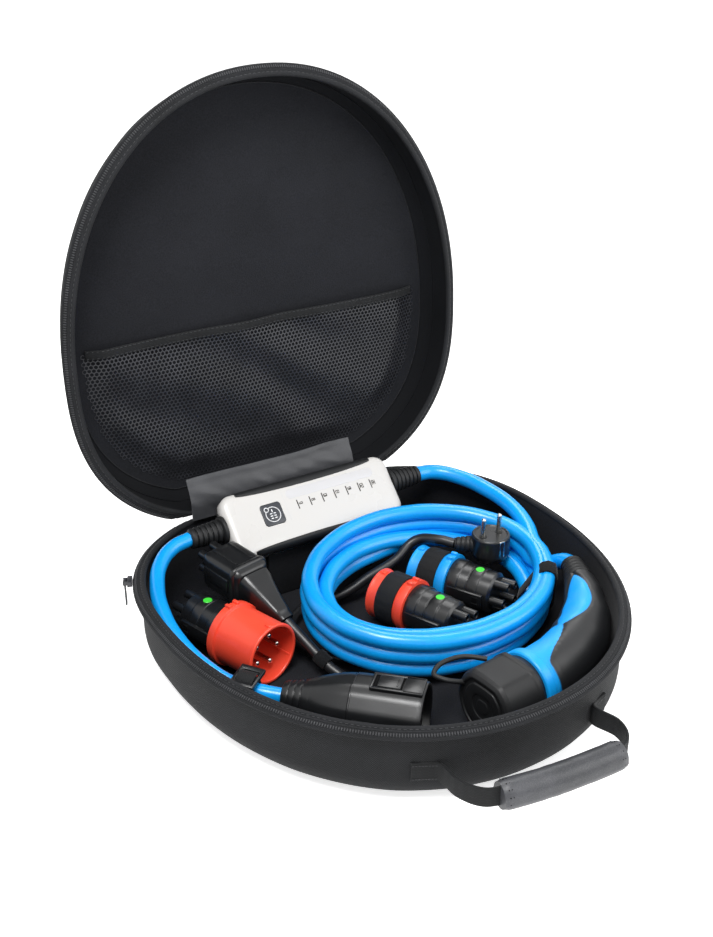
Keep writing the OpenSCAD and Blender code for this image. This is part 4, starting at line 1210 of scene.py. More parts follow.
@dataclass
class Cables:
    """The three cords and the band that holds the supply cord.

    Attributes:
        supply: Route of the supply cord, in millimetres.
        vehicle: Route of the vehicle cord down to its coil, in millimetres.
        connector: Route of the vehicle cord from its coil to the connector, in millimetres.
        lead: Route of the mains cord, in millimetres.
        coil_at: Middle of the coil's foot, in millimetres.
        coil_tilt: How far the coil leans, in degrees.
        coil_half: Half the length and width of the coil's outer turn, in millimetres.
        coil_start: Where the first turn starts, in degrees.
        layers: Heights of the three layers of turns, in millimetres.
    """

    supply: Route = (
        (-128, 163, 80), (-146, 160, 78), (-165, 147, 73), (-180, 122, 66), (-189, 90, 59),
        (-191, 54, 52), (-185, 18, 45), (-171, -12, 38), (-155, -32, 36.5), (-141, -45, 35),
    )
    vehicle: Route = (
        (132, 163, 80), (150, 160, 79), (169, 140, 77), (181, 106, 74), (185, 70, 70), (180, 38, 64.5),
        (170, 14, 60),
    )
    connector: Route = ((168, 2, 44), (174, -12, 49), (177, -24, 56), (176, -36, 60))
    lead: Route = (
        (-91, 40, 44), (-85, 22, 34), (-79, 4, 24), (-72, -14, 15), (-62, -30, 10.5), (-48, -42, 10.5),
        (-30, -46, 10.5), (-16, -36, 10.5), (-18, -18, 10.5), (-36, -6, 10.5), (-56, 6, 10.5),
        (-72, 26, 10.5), (-77, 50, 11), (-69, 74, 12), (-50, 90, 13), (-26, 92, 14), (0, 88, 18),
        (28, 88, 28), (58, 87, 38), (82, 90, 51), (97, 71, 57), (107, 58, 56),
    )
    coil_at: Triple = (52, 24.5, 23.4)
    coil_tilt: float = 6.5
    coil_half: Pair = (118.0, 96.0)
    coil_start: float = -3.9
    layers: Triple = (8.0, 22.7, 37.4)

    def build(self) -> None:
        """Build the cords and the band."""
        self.lines = {
            Cord.SUPPLY_CORD: [mm(p) for p in self.supply],
            Cord.VEHICLE_CORD: [*map(mm, self.vehicle), *self._wound(), *map(mm, self.connector)],
            Cord.MAINS_CORD: [mm(p) for p in self.lead],
        }
        self.made = {cord: self._cord(cord, line) for cord, line in self.lines.items()}
        self._hold_band()

    @staticmethod
    def _cord(cord: Cord, line: Sequence[Vector]) -> bpy.types.Object:
        """One cord as a round smooth curve.

        Args:
            cord: Which cord it is.
            line: Points it runs through, in metres.

        Returns:
            The curve object.
        """
        name = cord.name.lower()
        curve = bpy.data.curves.new(name, "CURVE")
        curve.dimensions = "3D"
        curve.bevel_depth = cord.value.thick / 2 * MM
        curve.bevel_resolution = 7
        curve.resolution_u = 6
        curve.use_fill_caps = True
        spline = curve.splines.new("BEZIER")
        spline.bezier_points.add(len(line) - 1)
        for point, place in zip(spline.bezier_points, line):
            point.co = place
            point.handle_left_type = "AUTO"
            point.handle_right_type = "AUTO"
        curve.materials.append(cord.value.finish.material())
        return settle(bpy.data.objects.new(name, curve), "base", cord.value.nodes)

    def _wound(self) -> list[Vector]:
        """Turns of the coil from its top layer down the inside and back up the outside."""
        frame = shift(*self.coil_at) @ spin(self.coil_tilt, "X")
        low, middle, top = self.layers
        # Turns run so far, distance outwards and height
        stops = (
            (0.03, 0.0, top), (0.95, -1.0, top), (1.1, -6.0, top - 2), (1.3, -14.2, 31.0), (1.6, -15.5, 24.0),
            (1.95, -15.0, 12.0), (2.1, -14.7, low), (2.7, -14.7, low), (2.95, -0.5, low), (3.65, 0.0, low),
            (3.95, 0.5, middle), (4.97, 0.0, middle),
        )
        line = []
        for k in range(80):
            t = 0.03 + 4.94 * k / 79
            after = next((i for i, stop in enumerate(stops) if stop[0] >= t), len(stops) - 1)
            a, b = stops[max(after - 1, 0)], stops[after]
            share = smooth_step(a[0], b[0], t) if b[0] > a[0] else 0.0
            near = (t - 0.08 + 0.5) % 1 - 0.5
            calm = 1.8 - 1.5 * math.exp(-((near / 0.06) ** 2))
            out = a[1] + (b[1] - a[1]) * share + calm * noise.noise(Vector((t * 4.3, 2.5, 0)))
            high = a[2] + (b[2] - a[2]) * share + 0.5 * noise.noise(Vector((t * 3.9, 7.5, 0)))
            x, y = polar(1, self.coil_start - 360 * t)
            line.append(frame @ mm(((self.coil_half[0] + out) * x, (self.coil_half[1] + out) * y, high)))
        return line

    def _hold_band(self) -> None:
        """Webbing looped over the supply cord and sewn to the floor, with its end over the buckle."""
        outer = [(31.0, 6.6), (14.0, 8.2), *arc((0, 0), 9.6, 90, 270, 12), (14.0, -8.2), (31.0, -6.6)]
        inner = [(31.0, -5.0), (14.0, -6.6), *arc((0, 0), 8.0, 270, 90, 12), (14.0, 6.6), (31.0, 5.0)]
        frame = along((-163, -22, 37.3), (-155, -32, 36.5))
        piece = Piece("hold_band", "base", "webbing", WEBBING, "cable_strap", frame=frame)
        piece.add(loft([level(outer + inner, z) for z in (-9.0, -8.6, -4.5, 0.0, 4.5, 8.6, 9.0)]))
        rows = []
        for k in range(25):
            y = -8.2 + 16.4 * k / 24
            rise = 10.2 + 4.2 * math.sin(math.pi * k / 24) ** 0.5
            rows.append([mm((-rise - u, y, v)) for u, v in round_rect(1.4, 15.4, 0.6, 2)])
        piece.add(loft(rows)).build(sharp=50)


@dataclass
class Coupler:
    """Adapter coupling at the end of the supply cord.

    Attributes:
        start: End of the cord, in millimetres.
        end: Middle of the mouth, in millimetres.
        latch_z: How far from the cord the latch sits, in millimetres.
    """

    start: Triple = (-141, -45, 35)
    end: Triple = (-55, -132, 35)
    latch_z: float = 92.0

    def __post_init__(self) -> None:
        """Set the coupling's frame, with Z towards its mouth."""
        self.frame = along(self.start, self.end)

    def build(self) -> None:
        """Build the tail, the housing, the contact face and the latch."""
        self._tail()
        self._housing()
        self._mouth()
        latch = Piece(
            "coupler_button", "latch", "black_plastic", BLACK_NYLON, "coupler_latch", frame=self.frame
        )
        latch.box((7.2, 15.4, 19.4), (-27.9, 0, self.latch_z), 0.6)
        latch.box((0.8, 11, 1.4), (-31.5, 0, self.latch_z + 6.6), 0.3).build()

    def _tail(self) -> None:
        """Smooth tail with three fine grooves."""
        tail = [(0, 0), (10.5, 0), (13.2, 1.2), (14.2, 5), (14.4, 6.6), (13.6, 6.8), (13.7, 7.4), (14.7, 7.6)]
        tail += [(15.5, 12), (14.7, 12.2), (14.8, 12.8), (15.9, 13), (17, 18), (16.2, 18.2), (16.3, 18.8)]
        tail += [(17.4, 19), (19.2, 24), (20.6, 28), (0, 28)]
        piece = Piece("coupler_tail", "base", "black_plastic", BLACK_NYLON, "coupler_rear", frame=self.frame)
        piece.add(lathe(fillet(tail, 0.25, 2), 64)).build(sharp=50)

    @staticmethod
    def _section(radius: float, octagon: float) -> list[Pair]:
        """Round to eight-sided section, in millimetres."""
        made = []
        for k in range(96):
            turn = math.tau * k / 96
            bend = (turn + math.pi / 8) % (math.pi / 4) - math.pi / 8
            flat = math.cos(math.pi / 8) * 1.055 / math.cos(bend)
            r = radius * (1 - octagon + octagon * min(flat, 1.0))
            made.append((r * math.cos(turn), r * math.sin(turn)))
        return made

    def _housing(self) -> None:
        """Eight-sided housing that tapers to the tail, with rails on both sides and round the latch."""
        # Height, radius and how eight-sided
        stations = [
            (24, 18.8, 0.0), (27, 20.4, 0.1), (33, 22.6, 0.4), (41, 25.2, 0.7), (49, 27.2, 0.9),
            (55, 28.2, 1.0), (60.4, 28.9, 1.0), (61.0, 28.2, 1.0), (61.8, 28.2, 1.0), (62.4, 29.4, 1.0),
            (80, 29.9, 1.0), (116, 30.2, 1.0), (120.6, 30.2, 0.9), (121.7, 29.7, 0.7), (122, 28.8, 0.4),
            (121.8, 27.6, 0.1), (120.8, 26.9, 0.0), (110, 26.8, 0.0),
        ]
        piece = Piece("coupler_shell", "base", "black_plastic", BLACK_NYLON, "coupler_body", frame=self.frame)
        piece.add(loft([level(self._section(r, o), z) for z, r, o in stations]))
        eyelet = [(1.6, -1), (1.7, 0.25), (2.6, 0.25), (2.9, -0.4)]
        for hand in (-1, 1):
            piece.box((19, 4.5, 56), (0, hand * 29.2, 93.4), 1.4)
            for z in (86, 113):
                place = shift(0, hand * 31.4, z) @ spin(-hand * 90, "X")
                piece.add(lathe(eyelet, 24), place=place)
                # A near-black disc in each eyelet is painted shade
                piece.add(lathe([(0, 0.1), (1.7, 0.1)], 24), HOLE_SHADE, place=place)
        # Near-black strips in the gaps round the latch are painted shade
        gaps = (((0.9, 21), 8.3, 0), ((0.9, 21), -8.3, 0), ((17, 0.9), 0, 10.3), ((17, 3.2), 0, -11.4))
        for size, y, z in gaps:
            piece.box((1.4, *size), (-29.3, y, self.latch_z + z), 0.1, HOLE_SHADE)
        rails = (((3.2, 43), -9.6, 6.5), ((3.2, 43), 9.6, 6.5), ((22, 2.6), 0, -14.4), ((22, 17.0), 0, 20.0))
        for size, y, z in rails:
            piece.box((3.0, *size), (-29.6, y, self.latch_z + z), 0.7)
        ring = fillet([(5.6, -0.4), (5.8, 0.35), (7.0, 0.35), (7.3, -0.5)], 0.2, 2)
        piece.add(lathe(ring, 40), place=shift(-28.2, 0, 70) @ spin(-90, "Y"))
        piece.build(sharp=42)

    def _mouth(self) -> None:
        """Contact face inside the mouth, pierced for the tubes of the adapters; the holes are near-black
        discs of painted shade.
        """
        face = [(0, 115.6), (25.6, 115.6), (26.4, 114.8), (26.4, 104.2)]
        collar = fillet([(3.2, 114.8), (3.2, 116.3), (4.7, 116.3), (5.0, 115.4)], 0.3, 2)
        piece = Piece("coupler_face", "base", "black_plastic", RUBBER, "coupler_insert", frame=self.frame)
        piece.add(lathe(face, 64))
        for x, y in [*(polar(14, 60 * k) for k in range(6)), (0, 0)]:
            piece.add(lathe(collar, 28), BLACK_NYLON, place=shift(x, y, 0))
            # A near-black disc at the foot of each collar is painted shade for the tube's hole
            piece.add(lathe([(0, 115.8), (3.3, 115.8)], 28), HOLE_SHADE, place=shift(x, y, 0))
        piece.build(sharp=40)


@dataclass
class VehicleConnector:
    """Vehicle connector: two-shot handle, collar, capped nose and the cap's tether.

    Attributes:
        cord_end: End of the cord, in millimetres.
        route: Middle line of the handle, in millimetres.
        nose_end: Point that the nose faces, in millimetres.
        radii: Radius of the handle at each point of its line, in millimetres.
        tether: Middle line of the tether, in millimetres.
        tether_r: Radius of the tether, in millimetres.
        sides: Points round the handle.
    """

    cord_end: Triple = (176, -36, 60)
    route: Route = (
        (166, -60, 56), (154, -82, 52), (137, -103, 47), (116, -119, 42.5), (91, -130, 39),
        (66, -136.5, 37.4), (46, -140, 37),
    )
    nose_end: Triple = (-26, -148, 37)
    radii: tuple[float, ...] = (14.0, 18.0, 22.5, 25.5, 26.5, 27.5, 29.0)
    tether: Route = (
        (20, -112.5, 54), (4, -100, 55), (-16, -97, 54), (-29, -104, 52), (-25, -114, 51),
        (-17, -119.5, 49.5), (-8, -123, 47.5),
    )
    tether_r: float = 2.2
    sides: int = 72

    def build(self, solids: Solids) -> None:
        """Build every piece of the connector.

        Args:
            solids: The frame's solids by name.
        """
        self._handle()
        self._boot()
        self._nose(solids)
        leash = Piece("cap_leash", "base", "soft_rubber", RUBBER, "cap_tether")
        leash.add(tube(flow(self.tether, 10), self.tether_r, 14)).build()

    @staticmethod
    def _grip(share: float, turn: float) -> float:
        """Above zero on the soft black grips, below zero on the blue core.

        Args:
            share: Share of the way from the boot to the collar.
            turn: Angle round the handle, a quarter turn being straight up.

        Returns:
            Signed distance from the edge between both.
        """
        off = (turn - math.radians(58) + math.pi) % math.tau - math.pi
        reach = min(max((share - 0.04) / 0.54, 0), 1)
        wide = math.radians(42) * (math.sin(math.pi * reach**0.85) ** 0.8)
        lens = (abs(off) - wide) * 0.6
        outer = smooth_step(0.05, 1.1, off) * (1 - smooth_step(2.5, 3.1, off))
        front = 0.56 + 0.36 * outer - 0.04 * smooth_step(0.0, 0.9, -off)
        return min(lens, (front - share) * 3)

    def _handle(self) -> None:
        """Curved handle with the grip line sunk between both colours."""
        line = flow(self.route, 14)
        turns = [math.tau * j / self.sides for j in range(self.sides)]
        shares = [k / (len(line) - 1) for k in range(len(line))]
        last = len(self.radii) - 1

        def section(k: int) -> list[Pair]:
            """Rounded square with a groove where the colours meet."""
            i = min(int(shares[k] * last), last - 1)
            part = smooth_step(0, 1, shares[k] * last - i)
            radius = self.radii[i] + (self.radii[i + 1] - self.radii[i]) * part
            row = []
            for turn in turns:
                grip = self._grip(shares[k], turn)
                r = radius * (1 + 0.02 * math.cos(4 * turn)) - 0.9 * math.exp(-((grip / 0.05) ** 2))
                r += 0.5 if grip > 0.05 else 0.0
                row.append((r * math.cos(turn), r * math.sin(turn)))
            return row

        skin = sweep(line, section)
        layer = skin.verts.layers.float.new("grip")
        for vert, value in zip(skin.verts, [self._grip(share, turn) for share in shares for turn in turns]):
            vert[layer] = value
        nodes = ("connector_body", "connector_grip")
        piece = Piece("connector_handle", "base", "core_blue", TWO_SHOT, *nodes)
        piece.bm.verts.layers.float.new("grip")
        piece.add(skin).build(sharp=60)

    def _boot(self) -> None:
        """Ribbed bend protector between the cord and the handle."""
        outline = [(0, 0), (8.6, 0)]
        for k in range(5):
            low = 0.6 + 5 * k
            r = 10.5 + 3.5 * k / 4.4
            outline += [(r - 1.2, low), (r, low + 0.5), (r + 0.2, low + 3.4), (r - 1.0, low + 4.2)]
        outline += [(13.6, 25.6), (0, 26.4)]
        frame = along(self.cord_end, self.route[0])
        piece = Piece("connector_collar", "base", "soft_rubber", RUBBER, "connector_boot", frame=frame)
        piece.add(lathe(fillet(outline, 0.5, 2), 48)).build(sharp=50)

    def _nose(self, solids: Solids) -> None:
        """Blue collar and contact barrel with the push-on dust cap over it."""
        frame = along(self.route[-1], self.nose_end)
        collar = fillet([(26, -3), (29.5, -2.4), (31, -1), (31, 6.4), (30, 8), (27, 8.2)], 0.8)
        nose = Piece("connector_nose", "base", "black_plastic", BLACK_NYLON, "connector_head")
        nose.add(lathe(collar, 72), SIGNAL_BLUE, place=frame)
        nose.add(softened(solids["connector_head"], 0.6)).build(sharp=45)
        cap = [(28.6, 40), (28.6, 15), (29.2, 14), (32.4, 14), (33, 14.8), (33, 19), (32.4, 19.8), (32.2, 22)]
        cap += [(32.2, 40), (32.2, 50.5), (30.4, 54), (27.4, 56), (25.6, 56), (25, 54.6), (21.6, 54.6)]
        cap += [(21, 56), (12.4, 56), (11.8, 55.2), (7, 55.2), (6.4, 55.8), (2, 55.8)]
        rows = []
        for r, z in fillet(cap, 0.5, 2):
            row = [polar(r, 4.5 * k) for k in range(80)]
            rows.append(level([(max(x, -0.86 * r + 0.2 * min(x + 0.86 * r, 0)), y) for x, y in row], z))
        skin = loft(rows)
        bmesh.ops.remove_doubles(skin, verts=skin.verts, dist=WELD)
        piece = Piece("connector_cap", "base", "soft_rubber", RUBBER, "dust_cap", frame=frame)
        piece.add(skin).build(sharp=42)


@dataclass(frozen=True)
class AdapterSizes:
    """One plug adapter: where it lies and its sizes, in millimetres.

    Attributes:
        start: End with the tubes.
        end: Point that its mouth faces.
        body_r: Radius of the black housing.
        body_l: Length of the black housing.
        sleeve_r: Radius of the coloured sleeve.
        sleeve_l: Length of the coloured sleeve.
        pins: Angles of the pins, in degrees.
        pin_at: Distance of the pins from the axis.
        pin_r: Radius of a pin.
        finish: Colour of the sleeve.
        slot: Material slot of the sleeve.
        band: Whether an elastic band holds it.
    """

    start: Triple
    end: Triple
    body_r: float
    body_l: float
    sleeve_r: float
    sleeve_l: float
    pins: tuple[float, ...]
    pin_at: float
    pin_r: float
    finish: Finish
    slot: str
    band: bool


FIVE = tuple(90.0 + 72.0 * k for k in range(5))
THREE = (30.0, 150.0, 270.0)


class PlugKind(Enum):
    """The three plug adapters."""

    CEE = AdapterSizes(
        (-154, 124, 34), (-117, 8, 34), 23, 48, 28, 54, FIVE, 14, 2.6, SIGNAL_RED, "signal_red", False
    )
    RED = AdapterSizes(
        (57, -38, 29.5), (18, 60, 29.5), 22.5, 46, 23.5, 42, FIVE, 12, 2.3, SIGNAL_RED, "signal_red", True
    )
    BLUE = AdapterSizes(
        (120, -17, 29.5), (72, 79, 29.5), 22.5, 46, 23.5, 42, THREE, 11, 2.3, SIGNAL_BLUE, "core_blue", True
    )


def add_tubes(piece: Piece, reach: float) -> None:
    """Join the five hollow contact tubes of an adapter, at a distance from its axis."""
    hollow = fillet([(4.3, 15), (4.3, 0.6), (3.9, 0), (3.1, 0), (2.7, 0.6), (2.7, 11), (0, 11)], 0.3, 2)
    for turn in FIVE:
        piece.add(lathe(hollow, 28), place=shift(*polar(reach, turn), 0))


@dataclass
class PlugAdapter:
    """Adapter from the coupling to one kind of wall socket.

    Attributes:
        kind: Which adapter it is.
        tube: Length of the contact tubes, in millimetres.
    """

    kind: PlugKind
    tube: float = 14.0

    def __post_init__(self) -> None:
        """Set the adapter's frame, with Z towards the mouth of its sleeve."""
        self.sizes = self.kind.value
        self.name = self.kind.name.lower()
        self.frame = along(self.sizes.start, self.sizes.end)
        self.low = self.tube + self.sizes.body_l
        self.far = self.low + self.sizes.sleeve_l

    def build(self) -> None:
        """Build the housing, the sleeve, the pins and the band."""
        self._housing()
        self._sleeve()
        self._contacts()
        if self.sizes.band:
            self._band()

    def _piece(self, part: str, slot: str, finish: Finish, node: str) -> Piece:
        """Start a piece of this adapter."""
        return Piece(f"{self.name}_{part}", "base", slot, finish, f"{self.name}_{node}", frame=self.frame)

    def _housing(self) -> None:
        """Black housing with five hollow tubes, two side tabs and an inspection dot."""
        r, far, long = self.sizes.body_r, self.low, self.sizes.body_l - 8
        outline = [(0, 14), (r - 5, 14), (r - 2.4, 16.5), (r - 2.4, 27), (r - 1.5, 28), (r - 1.5, 38)]
        outline += [(r - 2.2, 38.5), (r - 2.2, 39.5), (r - 1.5, 40), (r - 1.4, far - 12), (r, far - 11)]
        outline += [(r, far), (0, far)]
        piece = self._piece("housing", "black_plastic", BLACK_NYLON, "body")
        piece.add(lathe(fillet(outline, 0.35, 2), 64))
        add_tubes(piece, 0.6 * r)
        for hand in (-1, 1):
            piece.box((13, 4.6, long), (0, hand * (r - 1.6), self.tube + 6 + long / 2), 1.0)
            # A near-black plate on each tab is painted shade for its slot
            piece.box((5, 0.5, 5), (0, hand * (r + 0.55), self.tube + 13), 0.2, HOLE_SHADE)
            for side in (-3.4, 3.4):
                piece.box((0.9, 1.2, 7), (side, hand * (r + 0.5), self.tube + 13), 0.3)
        dot = [(0, 0.35), (3.9, 0.35), (4.2, 0.1), (4.2, -0.8)]
        piece.add(lathe(dot, 32), GREEN_VINYL, place=shift(1.7 - r, 0, 33) @ spin(-90, "Y"))
        piece.build(sharp=24)

    def _sleeve(self) -> None:
        """Coloured sleeve with its flange, guide lugs and rim."""
        r, low, far, long = self.sizes.sleeve_r, self.low, self.far, self.sizes.sleeve_l
        outline = [(0, low + 6), (r - 2.5, low + 6), (r - 2.5, far - 0.8), (r - 1.9, far), (r, far)]
        outline += [(r + 0.8, far - 0.8), (r + 0.8, far - 2.6), (r, far - 3.2), (r, low + 8)]
        outline += [(r + 2.4, low + 7.4), (r + 2.4, low + 0.2), (0, low + 0.2)]
        piece = self._piece("ring", self.sizes.slot, self.sizes.finish, "sleeve")
        piece.add(lathe(fillet(outline, 0.4, 2), 80))
        for across in (-4.6, 4.6):
            piece.box((4.6, 3.4, 6.6), (-r - 2.2, across, low + 3.6), 0.8)
        piece.box((2.2, 5, 7), (-r - 0.2, 0, far - 4.4), 0.7)
        piece.box((2.4, 8, long * 0.5), (r + 0.2, 0, low + 6 + long * 0.25), 0.6)
        for turn in (60, 120, 240, 300):
            place = shift(*polar(r - 2.8, turn), low + long / 2 + 2) @ spin(turn, "Z")
            piece.add(blocks((1.4, 1.6, long - 9), 0.4, segments=2), place=place)
        piece.build(sharp=42)

    def _contacts(self) -> None:
        """Plated pins with rounded tips, each in a raised seat."""
        r, low, far = self.sizes.pin_r, self.low + 6, self.far - 8
        pin = fillet([(r, low - 1), (r, far - 1.2), (r - 1.0, far), (0, far)], 0.5)
        seat = fillet([(r + 1.6, low - 0.5), (r + 1.4, low + 2.2), (r - 0.2, low + 2.2)], 0.3, 2)
        piece = self._piece("contacts", "pin_nickel", NICKEL, "pins")
        for turn in self.sizes.pins:
            place = shift(*polar(self.sizes.pin_at, turn), 0)
            piece.add(lathe(pin, 28), place=place).add(lathe(seat, 28), RUBBER, place=place)
        piece.build(sharp=40)

    def _band(self) -> None:
        """Elastic band round the sleeve."""
        rows = []
        for k in range(73):
            x, y = polar(1, 5 * k)
            radius = self.sizes.sleeve_r + 0.9 + 0.35 * noise.noise(Vector((x, y, 0.3)) * 2)
            section = round_rect(1.5, 20, 0.6, 3)
            rows.append([mm(((radius + u) * x, (radius + u) * y, self.low + 21 + v)) for u, v in section])
        self._piece("elastic", "webbing", WEBBING, "band").add(loft(rows, capped=False)).build(sharp=50)


@dataclass
class LeadSet:
    """Household adapter: its housing at one end of the lead and the plug at the other.

    Attributes:
        start: Middle of the housing's end with the tubes, in millimetres.
        end: Middle of the housing's other end, in millimetres.
        tip: Where the lead leaves the housing's boot, in millimetres.
        plug_at: Middle of the plug's foot, in millimetres.
        exit_at: Where the lead leaves the plug's boot, in millimetres.
        pin_off: Distance of a plug pin from the middle, in millimetres.
    """

    start: Triple = (-116, 146, 66)
    end: Triple = (-101, 84, 63)
    tip: Triple = (-91, 40, 44)
    plug_at: Triple = (136, 38, 42.5)
    exit_at: Triple = (107, 58, 56)
    pin_off: float = 9.5

    def build(self) -> None:
        """Build the housing and the plug."""
        self._housing()
        self._plug()
        self._pins()

    def _housing(self) -> None:
        """Boxy housing with a collar, tubes at one end and the tapered boot at the other."""
        stations = [(5, 14), (1.5, 14.8), (0.3, 17), (0, 22), (0, 40), (0, 52.6), (-1.2, 53.6), (-1.5, 54.6)]
        stations += [(-1.5, 57), (-0.8, 58), (1, 58.6), (2.4, 62), (5, 64)]
        rows = []
        for inset, z in stations:
            rows.append(level(round_rect(38 - 2 * inset, 40 - 2 * inset, max(7 - inset, 4), 5), z))
        frame = along(self.start, self.end)
        piece = Piece("lead_housing", "base", "black_plastic", BLACK_NYLON, "lead_adapter", frame=frame)
        piece.add(loft(rows))
        add_tubes(piece, 12)
        for hand in (-1, 1):
            piece.box((13, 3, 34), (0, hand * 19.6, 34), 1.0)
            # A near-black plate on each side is painted shade for its slot
            piece.box((5, 0.6, 5), (0, hand * 21, 24), 0.2, HOLE_SHADE)
            piece.box((1.6, 1.8, 34), (-19.2, hand * 9.0, 34), 0.5)
        start = Vector(self.start)
        leave = start + (Vector(self.end) - start).normalized() * 61
        reach = (Vector(self.tip) - leave).length
        # Share of the boot's length, and its width there in millimetres
        taper = [(0, 32), (0.12, 31), (0.3, 26), (0.55, 20.5), (0.8, 16.5)]
        taper += [(0.86, 16), (0.88, 14.4), (1.0, 13.4)]
        rows = [level(round_rect(w, w * 1.04, w * 0.26, 4), t * reach) for t, w in taper]
        piece.add(loft(rows), place=frame.inverted() @ along(leave, self.tip))
        piece.build(sharp=42)

    def _plug(self) -> None:
        """Round plug with its face up and a ribbed boot at its side."""
        outline = [(0, 0), (14.5, 0), (16.6, 1), (19, 6.4), (19, 24.6), (18, 26), (16.4, 26), (15.9, 25.2)]
        piece = Piece("mains_plug", "base", "black_plastic", BLACK_NYLON, "plug_body")
        piece.add(lathe(fillet([*outline, (0, 25.2)], 0.8), 64), place=shift(*self.plug_at))
        seat = [(2.4, 25.6), (3.8, 25.6), (4.1, 24.8)]
        for side in (-self.pin_off, self.pin_off):
            piece.add(lathe(seat, 28), RUBBER, place=shift(*self.plug_at) @ shift(side, 0, 0))
        way_out = Vector(self.exit_at)
        middle = Vector((*self.plug_at[:2], way_out.z))
        leave = middle + (way_out - middle).normalized() * 15
        reach = (way_out - leave).length
        wide, thin, ribs = 9, 6.2, max(int(reach / 4.6), 2)
        step = (reach - 1.5) / ribs
        boot = [(0, 0), (wide, 0)]
        for k in range(ribs):
            low = 1 + step * k
            r = wide + (thin - wide) * (k + 0.3) / ribs
            rib = ((0, 0), (-0.3, 0.7), (-1.1, 0.75), (-1.1, 0.95))
            boot += [(r + out, low + step * up) for out, up in rib]
        boot += [(thin, reach), (0, reach + 0.2)]
        piece.add(lathe(fillet(boot, 0.4, 2), 40), RUBBER, place=along(leave, self.exit_at)).build(sharp=42)

    def _pins(self) -> None:
        """Both pins of the plug and the earth clips at its sides."""
        frame = shift(*self.plug_at)
        piece = Piece("mains_contacts", "base", "pin_nickel", NICKEL, "plug_pins", frame=frame)
        rod = fillet([(2.4, 24), (2.4, 43.4), (1.4, 45), (0, 45)], 0.8)
        for side in (-1, 1):
            piece.add(lathe(rod, 32), place=shift(side * self.pin_off, 0, 0))
            piece.box((6, 1.4, 17), (0, side * 18.2, 16.8), 0.4)
        piece.build(sharp=40)


# Solids that keep their form: name, body, slot, finish, solid, rounding in millimetres and crisp angle
KEPT = (
    ("zip_runner", "base", "zip_metal", ZIP_METAL, "zip_slider", 0.5, 38),
    ("zip_tongue", "pull", "zip_metal", ZIP_METAL, "zip_pull", 0.4, 38),
    ("box_tray", "base", "black_plastic", BLACK_NYLON, "box_back", 1.2, 38),
    ("coil_band", "base", "webbing", NAPPED, "coil_tie", 0.5, 50),
    ("lead_band", "base", "webbing", NAPPED, "lead_strap", 0.3, 50),
    ("hold_buckle", "base", "black_plastic", BLACK_NYLON, "strap_buckle", 0.8, 38),
    ("box_gasket", "base", "soft_rubber", RUBBER, "box_seal", 0.3, 38),
    ("main_board", "base", "board_green", BOARD, "circuit_board", 0.2, 38),
    ("relay_blocks", "base", "relay_blue", KEY_DARK, "relays", 0.6, 38),
    ("current_ring", "base", "ring_dark", KEY_DARK, "sensor_ring", 0.8, 38),
    ("post_screws", "base", "screw_steel", NICKEL, "board_screws", 0.2, 38),
    ("box_cradle", "base", "foam", FOAM, "box_rest", 1.2, 38),
)


def keep_solids(solids: Solids) -> None:
    """Round the edges of the solids that keep their form and dress them."""
    for name, body, slot, finish, node, width, sharp in KEPT:
        Piece(name, body, slot, finish, node).add(softened(solids[node], width)).build(sharp)


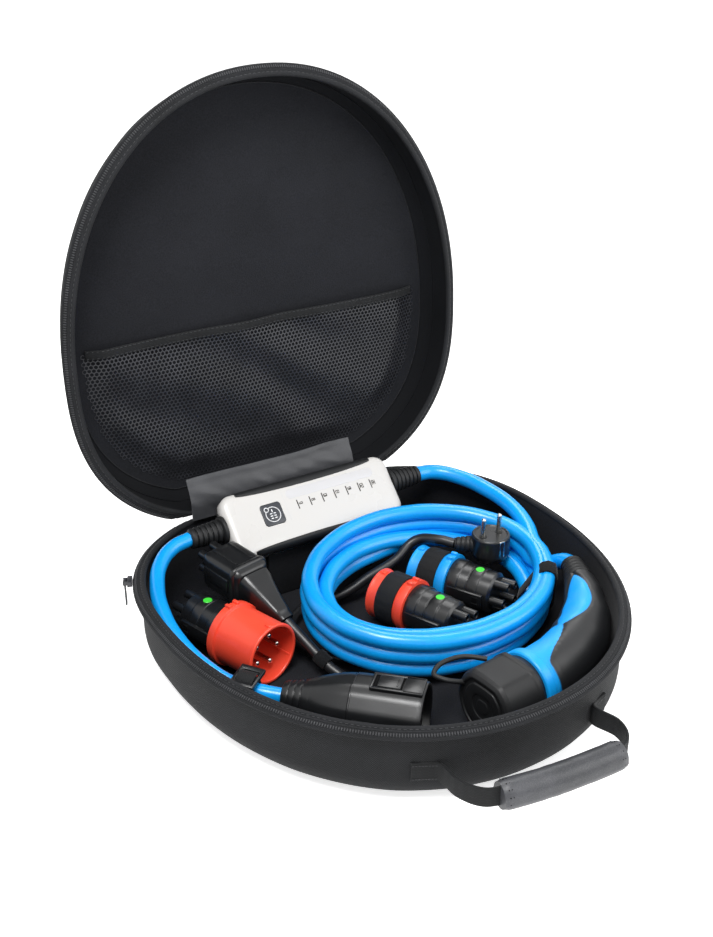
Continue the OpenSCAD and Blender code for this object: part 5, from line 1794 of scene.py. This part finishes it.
@dataclass
class Studio:
    """Camera, lamps and white ground of the photograph.

    Attributes:
        position: Place of the camera, in millimetres.
        yaw: How far the camera is turned to the right, in degrees.
        pitch: How far it looks down, in degrees.
        lens: Its focal length, in millimetres.
        target: Point that the lamps face, in millimetres.
        lamps: Name, place in millimetres, diameter in metres and power in watts of each lamp.
    """

    position: Triple = (-533.9, -806.0, 684.1)
    yaw: float = 31.43
    pitch: float = 26.98
    lens: float = 48.4
    target: Triple = (0, 40, 60)
    lamps: tuple[tuple[str, Triple, float, float], ...] = (
        ("key_lamp", (-600.0, -500.0, 1700.0), 0.8, 30.0),
        ("fill_lamp", (1000.0, -1100.0, 900.0), 1.4, 14.0),
        ("back_lamp", (500.0, 1000.0, 1600.0), 1.1, 16.0),
    )

    def build(self) -> None:
        """Set up the whole studio."""
        bpy.context.scene.camera = self._camera()
        self._world()
        self._lamps()
        self._floor()
        bpy.context.scene.view_settings.view_transform = "Standard"

    @staticmethod
    def _put(name: str, data: bpy.types.ID, place: Sequence[float]) -> bpy.types.Object:
        """New object of the studio at a place in millimetres."""
        made = bpy.data.objects.new(name, data)
        made.location = mm(place)
        bpy.context.scene.collection.objects.link(made)
        return made

    def _camera(self) -> bpy.types.Object:
        """Camera at the place that the photograph was taken from."""
        data = bpy.data.cameras.new("photo_camera")
        data.lens = self.lens
        data.sensor_width = 36.0
        data.sensor_fit = "AUTO"
        data.clip_start = 0.01
        made = self._put("photo_camera", data, self.position)
        made.rotation_euler = (math.radians(90 - self.pitch), 0.0, math.radians(-self.yaw))
        return made

    @staticmethod
    def _seen(tree: Tree, dim: float, bright: float) -> Socket:
        """Strength that is bright to the eye, in reflections and through glass, and dim as a light.

        Args:
            tree: Node tree of the world or the ground.
            dim: Strength as a light.
            bright: Strength to the eye.

        Returns:
            The strength.
        """
        path = add_node(tree, "ShaderNodeLightPath").outputs
        seen = path["Is Camera Ray"]
        for kind in ("Is Glossy Ray", "Is Transmission Ray"):
            seen = add_node(tree, "ShaderNodeMath", {0: seen, 1: path[kind]}, operation="MAXIMUM").outputs[0]
        strength = {"Value": seen, "To Min": dim, "To Max": bright}
        return add_node(tree, "ShaderNodeMapRange", strength).outputs[0]

    def _world(self) -> None:
        """White surroundings, softer for the light they give than for the eye."""
        world = bpy.data.worlds.new("white_room")
        world.use_nodes = True
        tree = world.node_tree
        back = tree.nodes["Background"].inputs
        back["Color"].default_value = (1, 1, 1, 1)
        tree.links.new(self._seen(tree, 0.52, 1.0), back["Strength"])
        bpy.context.scene.world = world

    def _lamps(self) -> None:
        """Large soft lamps that face the case."""
        for name, place, size, power in self.lamps:
            data = bpy.data.lights.new(name, "AREA")
            data.shape = "DISK"
            data.size = size
            data.energy = power
            made = self._put(name, data, place)
            made.rotation_euler = (mm(self.target) - made.location).to_track_quat("-Z", "Y").to_euler()

    def _floor(self) -> None:
        """White ground that holds a soft shadow and runs out to pure white."""
        bm = bmesh.new()
        bmesh.ops.create_grid(bm, x_segments=1, y_segments=1, size=6.0)
        data = bpy.data.meshes.new("ground")
        bm.to_mesh(data)
        bm.free()
        paper = bpy.data.materials.new("white paper")
        paper.use_nodes = True
        tree = paper.node_tree
        shader = tree.nodes["Principled BSDF"].inputs
        shader["Base Color"].default_value = (0.92, 0.92, 0.92, 1)
        shader["Roughness"].default_value = 0.9
        shader["Emission Color"].default_value = (1, 1, 1, 1)
        tree.links.new(self._seen(tree, 0.0, 0.7), shader["Emission Strength"])
        data.materials.append(paper)
        made = self._put("ground", data, (0, 0, -0.5))


def spread(low: Sequence[float], high: Sequence[float]) -> list[list[float]]:
    """Corner pair of a box as plain lists."""
    return [[float(v) for v in low], [float(v) for v in high]]


def main() -> None:
    """Build the scene."""
    logging.basicConfig(level=logging.INFO, format="%(name)s: %(message)s")
    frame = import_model()
    solids = frame["nodes"]
    Studio().build()
    cables = Cables()
    cables.build()
    case = Case()
    case.build()
    Handle(case.plan).build()
    ControlBox().build()
    Coupler().build()
    VehicleConnector().build(solids)
    for kind in PlugKind:
        PlugAdapter(kind).build()
    LeadSet().build()
    keep_solids(solids)
    bpy.context.view_layer.update()


if __name__ == "__main__":
    main()
